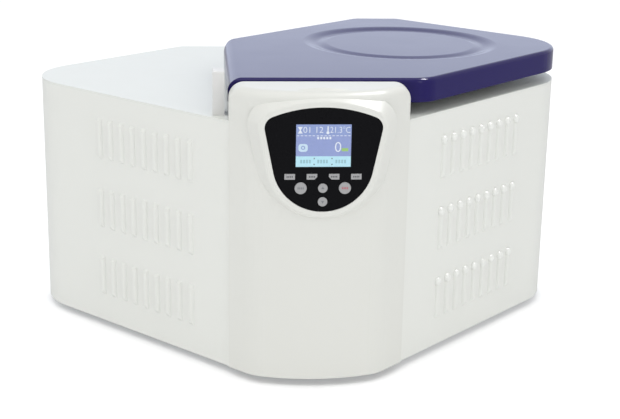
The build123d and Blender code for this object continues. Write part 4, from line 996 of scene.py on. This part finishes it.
@dataclass
class Screen:
    """The lit picture behind the clear plate: bands, figures and plain pictograms.

    Places and sizes are shares of the picture's width and height, from its lower left corner, and
    the sizes of round and pointed shapes are shares of its width. Those in MM are lengths.
    """

    thick: float = 0.05 * MM
    air: float = 0.02 * MM
    soft_corner: float = 0.3 * MM
    round_corner: float = 0.4 * MM
    top_band: float = 0.27
    foot_band: float = 0.245
    dashes: int = 14
    dash_line: Pair = (0.62, 0.014)
    top_row_at: float = 0.86
    top_figures: float = 0.15
    hourglass_at: float = 0.075
    hourglass_radius: float = 0.05
    hourglass_rise: float = 0.045
    time_at: float = 0.31
    stem_at: Pair = (0.575, 0.875)
    stem: Pair = (0.022, 0.16)
    bulb_at: Pair = (0.575, 0.80)
    bulb: float = 0.028
    bulb_sides: int = 24
    degrees_at: float = 0.80
    degrees_narrow: float = 0.82
    line_marks: int = 5
    line_mark_at: Pair = (0.40, 0.675)
    line_mark: Pair = (0.035, 0.055)
    line_mark_step: float = 0.055
    dial_at: Pair = (0.13, 0.445)
    dial: Pair = (0.17, 0.185)
    dial_corner: float = 3.2 * MM
    dial_ring: float = 0.038
    dial_hub: float = 0.020
    count_at: Pair = (0.765, 0.45)
    count_height: float = 0.25
    tag_at: Pair = (0.89, 0.40)
    tag: Pair = (0.12, 0.075)
    foot_groups: Triple = (0.10, 0.41, 0.74)
    foot_marks: int = 4
    foot_mark_at: float = 0.12
    foot_mark: Pair = (0.036, 0.085)
    foot_mark_step: float = 0.052
    tips_at: Pair = (0.335, 0.66)
    tip: float = 0.018
    tip_heights: Pair = (0.19, 0.05)
    low: Vector = field(init=False)
    high: Vector = field(init=False)
    front: float = field(init=False)

    def __post_init__(self) -> None:
        """Find the picture's corners and the module's front face."""
        self.low, self.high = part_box("display_window")
        self.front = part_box("display_module")[0].y

    def build(self) -> None:
        """Dress the module and the plate, and lay the picture between them."""
        dress("display_module", BLACK_PLASTIC)
        dress("display_window", CLEAR_PLATE)
        self.bands()
        self.dashed_line()
        self.hourglass()
        self.top_row()
        self.short_marks()
        self.dial_mark()
        self.count_and_tag()
        self.foot_row()

    def wide(self, share: float) -> float:
        """A width in metres, from its share of the picture's."""
        return share * (self.high.x - self.low.x)

    def tall(self, share: float) -> float:
        """A height in metres, from its share of the picture's."""
        return share * (self.high.z - self.low.z)

    def tile(self, size: Pair, corner: float = 0.0) -> Mesh:
        """A thin plate, from its shares of the picture's width and height."""
        return plate(self.wide(size[0]), self.tall(size[1]), self.thick, corner)

    def lay(self, name: str, mesh: Mesh, finish: Finish, place: Pair, layer: int = 1) -> None:
        """Lay one flat shape on the picture.

        Args:
            name: its name, without the picture's own.
            mesh: the shape, in the XY plane.
            finish: what it is made of.
            place: its middle, as shares of the picture.
            layer: how many layers lie under it.
        """
        depth = self.front - layer * self.thick - self.air
        stand_up(mesh, self.low.x + self.wide(place[0]), depth, self.low.z + self.tall(place[1]))
        finish_piece("screen_" + name, mesh, finish, "root")

    def bands(self) -> None:
        """The three coloured bands."""
        middle = 1.0 - self.top_band - self.foot_band
        rows = [
            ("top_band", SCREEN_TOP, 1.0 - self.top_band / 2, self.top_band),
            ("middle_band", SCREEN_MIDDLE, self.foot_band + middle / 2, middle),
            ("foot_band", SCREEN_FOOT, self.foot_band / 2, self.foot_band),
        ]
        for name, finish, height, tall in rows:
            self.lay(name, self.tile((1.0, tall)), finish, (0.5, height), layer=0)

    def dashed_line(self) -> None:
        """The dashed line under the top band."""
        for number in range(self.dashes):
            dash = self.tile((self.dash_line[0] / self.dashes, self.dash_line[1]))
            place = ((number + 0.5) / self.dashes, 1.0 - self.top_band)
            self.lay(f"dash_{number + 1}", dash, SCREEN_PALE, place)

    def hourglass(self) -> None:
        """Two triangles, tip to tip."""
        for number, (side, degrees) in enumerate(((1, 180.0), (-1, 0.0))):
            half = pointer(self.wide(self.hourglass_radius), self.thick, degrees)
            place = (self.hourglass_at, self.top_row_at + side * self.hourglass_rise)
            self.lay(f"hourglass_{number + 1}", half, SCREEN_PALE, place)

    def top_row(self) -> None:
        """A time, a thermometer and a temperature."""
        height = self.tall(self.top_figures)
        minutes = figures("01 12", height, self.thick)
        self.lay("minutes", minutes, SCREEN_PALE, (self.time_at, self.top_row_at))
        self.lay("thermometer", self.tile(self.stem, self.round_corner), SCREEN_PALE, self.stem_at)
        bulb = disc(self.wide(self.bulb), self.thick, self.bulb_sides)
        self.lay("thermometer_bulb", bulb, SCREEN_PALE, self.bulb_at)
        degrees = figures("21.3\u00b0C", height, self.thick, self.degrees_narrow)
        self.lay("degrees", degrees, SCREEN_PALE, (self.degrees_at, self.top_row_at))

    def short_marks(self) -> None:
        """A row of small plain marks."""
        for number in range(self.line_marks):
            mark = self.tile(self.line_mark, self.soft_corner)
            place = (self.line_mark_at[0] + self.line_mark_step * number, self.line_mark_at[1])
            self.lay(f"line_mark_{number + 1}", mark, SCREEN_PALE, place)

    def dial_mark(self) -> None:
        """A pale rounded pictogram on the left."""
        self.lay("dial", self.tile(self.dial, self.dial_corner), SCREEN_ICE, self.dial_at)
        ring = disc(self.wide(self.dial_ring), self.thick)
        self.lay("dial_ring", ring, SCREEN_TOP, self.dial_at, layer=2)
        hub = disc(self.wide(self.dial_hub), self.thick)
        self.lay("dial_hub", hub, SCREEN_ICE, self.dial_at, layer=3)

    def count_and_tag(self) -> None:
        """A large nought and a green tag."""
        count = figures("0", self.tall(self.count_height), self.thick)
        self.lay("count", count, SCREEN_PALE, self.count_at)
        self.lay("tag", self.tile(self.tag, self.round_corner), SCREEN_GREEN, self.tag_at)

    def foot_row(self) -> None:
        """Three groups of plain marks with small pointers between them."""
        for group_number, start in enumerate(self.foot_groups):
            for number in range(self.foot_marks):
                mark = self.tile(self.foot_mark, self.soft_corner)
                place = (start + self.foot_mark_step * number, self.foot_mark_at)
                self.lay(f"mark_{group_number + 1}_{number + 1}", mark, SCREEN_GREY, place)
        for tip_number, across in enumerate(self.tips_at):
            for number, (height, degrees) in enumerate(zip(self.tip_heights, (0.0, 180.0))):
                tip = pointer(self.wide(self.tip), self.thick, degrees)
                self.lay(f"pointer_{tip_number + 1}_{number + 1}", tip, MARK_DARK, (across, height))


@dataclass
class Lid(DressedNodes):
    """The blue shell, its liner and the parts that ride with it, with the hinge and the lock."""

    finishes: dict[str, Finish] = field(default_factory=lambda: {
        "lid_shell": LID_BLUE,
        "lid_liner": LINER_GREY,
        "lid_insulation": FOAM,
        "lid_striker": BRIGHT_STEEL,
        "hinge_leaf": PLATED_SHEET,
        "hinge_base": PLATED_SHEET,
        "hinge_pin": BRIGHT_STEEL,
        "lock_housing": BLACK_PLASTIC,
        "lock_bolt": BRIGHT_STEEL,
    })


@dataclass
class Chamber(DressedNodes):
    """The bowl with its ring, insulation and drive."""

    finishes: dict[str, Finish] = field(default_factory=lambda: {
        "bowl": BOWL_STEEL,
        "bowl_gasket": GASKET,
        "evaporator_jacket": CAST_METAL,
        "bowl_insulation": FOAM,
        "shaft_seal": RUBBER,
        "motor_housing": CAST_METAL,
        "motor_bearing": BRIGHT_STEEL,
        "motor_plate": GREY_COAT,
        "motor_dampers": RUBBER,
        "drive_shaft": BRIGHT_STEEL,
        "rotor_body": ROTOR_METAL,
        "rotor_cover": ROTOR_METAL,
        "rotor_knob": KNOB_BLACK,
    })


@dataclass
class Cooling(DressedNodes):
    """The refrigeration set and the boards in the left half."""

    finishes: dict[str, Finish] = field(default_factory=lambda: {
        "compressor": BLACK_ENAMEL,
        "compressor_feet": RUBBER,
        "condenser": CAST_METAL,
        "fan_shroud": GREY_COAT,
        "fan_motor": BLACK_ENAMEL,
        "fan_blades": BLACK_PLASTIC,
        "discharge_pipe": COPPER,
        "filter_drier": COPPER,
        "liquid_pipe": COPPER,
        "motor_drive": CAST_METAL,
        "board_bracket": GREY_COAT,
        "control_board": BOARD_GREEN,
    })


@dataclass
class BackFittings(DressedNodes):
    """The appliance inlet and the mains switch."""

    finishes: dict[str, Finish] = field(default_factory=lambda: {
        "power_inlet": BLACK_PLASTIC,
        "switch_frame": BLACK_PLASTIC,
        "power_rocker": BLACK_PLASTIC,
    })


# The studio


@dataclass(frozen=True)
class Lamp:
    """A square soft light that looks at the machine.

    Its place, its side and its target are in metres, and its power is in watts.
    """

    name: str
    place: Triple
    side: float
    power: float
    lights_matt: bool = True
    target: Triple = (0.0, 0.0, 0.2)

    def build(self) -> None:
        """Make the light, turned towards its target."""
        data = bpy.data.lights.new(self.name, "AREA")
        data.shape = "SQUARE"
        data.size = self.side
        data.energy = self.power
        lamp = bpy.data.objects.new(self.name, data)
        lamp.location = self.place
        aim = Vector(self.target) - Vector(self.place)
        lamp.rotation_euler = aim.to_track_quat("-Z", "Y").to_euler()
        lamp.visible_diffuse = self.lights_matt
        bpy.context.scene.collection.objects.link(lamp)


@dataclass
class Studio:
    """The pale floor, the soft light and the camera at the photograph's angle.

    The camera's place is in metres in the row frame, and its angles are in radians. The glint
    light adds shine only, and nothing to matt shading.
    """

    camera_place: Triple = (-0.1410, -1.8104, 0.687)
    heading: float = -0.0849
    tilt: float = 0.2906
    roll: float = -0.0183
    lens: float = 78.52
    sensor: float = 36.0
    floor_reach: float = 12.0
    floor_lift: float = 0.16
    floor_white: Colour = (0.93, 0.93, 0.93)
    floor_mirrored: Colour = (0.56, 0.56, 0.57)
    floor_specular: float = 0.1
    world_light: float = 0.88
    back_light: Colour = (1.10, 1.19, 1.38)
    back_starts: float = 0.5
    back_full: float = 0.95
    lamps: tuple[Lamp, ...] = (
        Lamp("top_light", (-0.5, -0.8, 3.0), 2.6, 26.0),
        Lamp("right_light", (1.3, -2.3, 0.6), 0.4, 3.6),
        Lamp("glint_light", (1.35, -0.2, 2.6), 0.45, 110.0, lights_matt=False),
    )

    def build(self) -> None:
        """Make the floor, the world, the lights and the camera."""
        self.floor()
        self.world()
        for lamp in self.lamps:
            lamp.build()
        self.camera()
        bpy.context.scene.view_settings.view_transform = "Standard"

    def floor(self) -> None:
        """A large plain pale floor."""
        mesh = bmesh.new()
        bmesh.ops.create_grid(mesh, x_segments=2, y_segments=2, size=self.floor_reach)
        data = bpy.data.meshes.new("studio_floor")
        mesh.to_mesh(data)
        mesh.free()
        floor = bpy.data.objects.new("studio_floor", data)
        bpy.context.scene.collection.objects.link(floor)
        floor.data.materials.append(self.paper())
        floor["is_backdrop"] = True

    def paper(self) -> bpy.types.Material:
        """The floor's white paper, which glows a little, but is darker in reflections.

        Returns:
            The material.
        """
        paper = bpy.data.materials.new("studio_paper")
        paper.use_nodes = True
        tree = paper.node_tree
        shader = tree.nodes["Principled BSDF"]
        shader.inputs["Roughness"].default_value = Gloss.RAW.value
        shader.inputs["Specular IOR Level"].default_value = self.floor_specular
        shader.inputs["Emission Color"].default_value = (1.0, 1.0, 1.0, 1.0)
        mirrored = tree.nodes.new("ShaderNodeLightPath").outputs["Is Glossy Ray"]
        tone = mix_colour(tree, mirrored, self.floor_white, self.floor_mirrored)
        tree.links.new(tone, shader.inputs["Base Color"])
        lift = times(tree, minus(tree, 1.0, mirrored), self.floor_lift)
        tree.links.new(lift, shader.inputs["Emission Strength"])
        return paper

    def world(self) -> None:
        """A white world that lights evenly, and a little stronger and cooler from behind."""
        world = bpy.data.worlds.new("studio")
        bpy.context.scene.world = world
        world.use_nodes = True
        tree = world.node_tree
        split = tree.nodes.new("ShaderNodeSeparateXYZ")
        tree.links.new(tree.nodes.new("ShaderNodeTexCoord").outputs["Generated"], split.inputs[0])
        behind = tree.nodes.new("ShaderNodeMapRange")
        behind.interpolation_type = "SMOOTHSTEP"
        behind.inputs["From Min"].default_value = self.back_starts
        behind.inputs["From Max"].default_value = self.back_full
        tree.links.new(split.outputs["Y"], behind.inputs["Value"])
        even = (self.world_light,) * 3
        light = mix_colour(tree, behind.outputs["Result"], even, self.back_light)
        seen = tree.nodes.new("ShaderNodeLightPath").outputs["Is Camera Ray"]
        shown = mix_colour(tree, seen, light, (1.0, 1.0, 1.0))
        tree.links.new(shown, tree.nodes["Background"].inputs["Color"])

    def camera_axes(self) -> Matrix:
        """The camera's axes, from its heading, tilt and roll.

        Returns:
            Its turn, as a matrix.
        """
        cosine, sine = math.cos(self.heading), math.sin(self.heading)
        right = Vector((cosine, sine, 0.0))
        level = math.cos(self.tilt)
        ahead = Vector((-sine * level, cosine * level, -math.sin(self.tilt)))
        down = ahead.cross(right)
        across = math.cos(self.roll) * right + math.sin(self.roll) * down
        under = -math.sin(self.roll) * right + math.cos(self.roll) * down
        return Matrix((across, -under, -ahead)).transposed().to_4x4()

    def camera(self) -> None:
        """The camera at the photograph's angle."""
        data = bpy.data.cameras.new("camera")
        data.lens = self.lens
        data.sensor_width = self.sensor
        data.sensor_fit = "HORIZONTAL"
        camera = bpy.data.objects.new("camera", data)
        camera.matrix_world = Matrix.Translation(self.camera_place) @ self.camera_axes()
        bpy.context.scene.collection.objects.link(camera)
        bpy.context.scene.camera = camera


def main() -> None:
    """Build every sub-assembly in order, then the studio."""
    logging.basicConfig(level=logging.INFO, format="%(name)s %(message)s")
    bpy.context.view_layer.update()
    assemblies = (
        Cabinet(), LouvreCrowns(), Keypad(), Screen(), Lid(), Chamber(), Cooling(), BackFittings()
    )
    for assembly in assemblies:
        assembly.build()
        log.info("built %s", type(assembly).__name__)
    Studio().build()


if __name__ == "__main__":
    main()
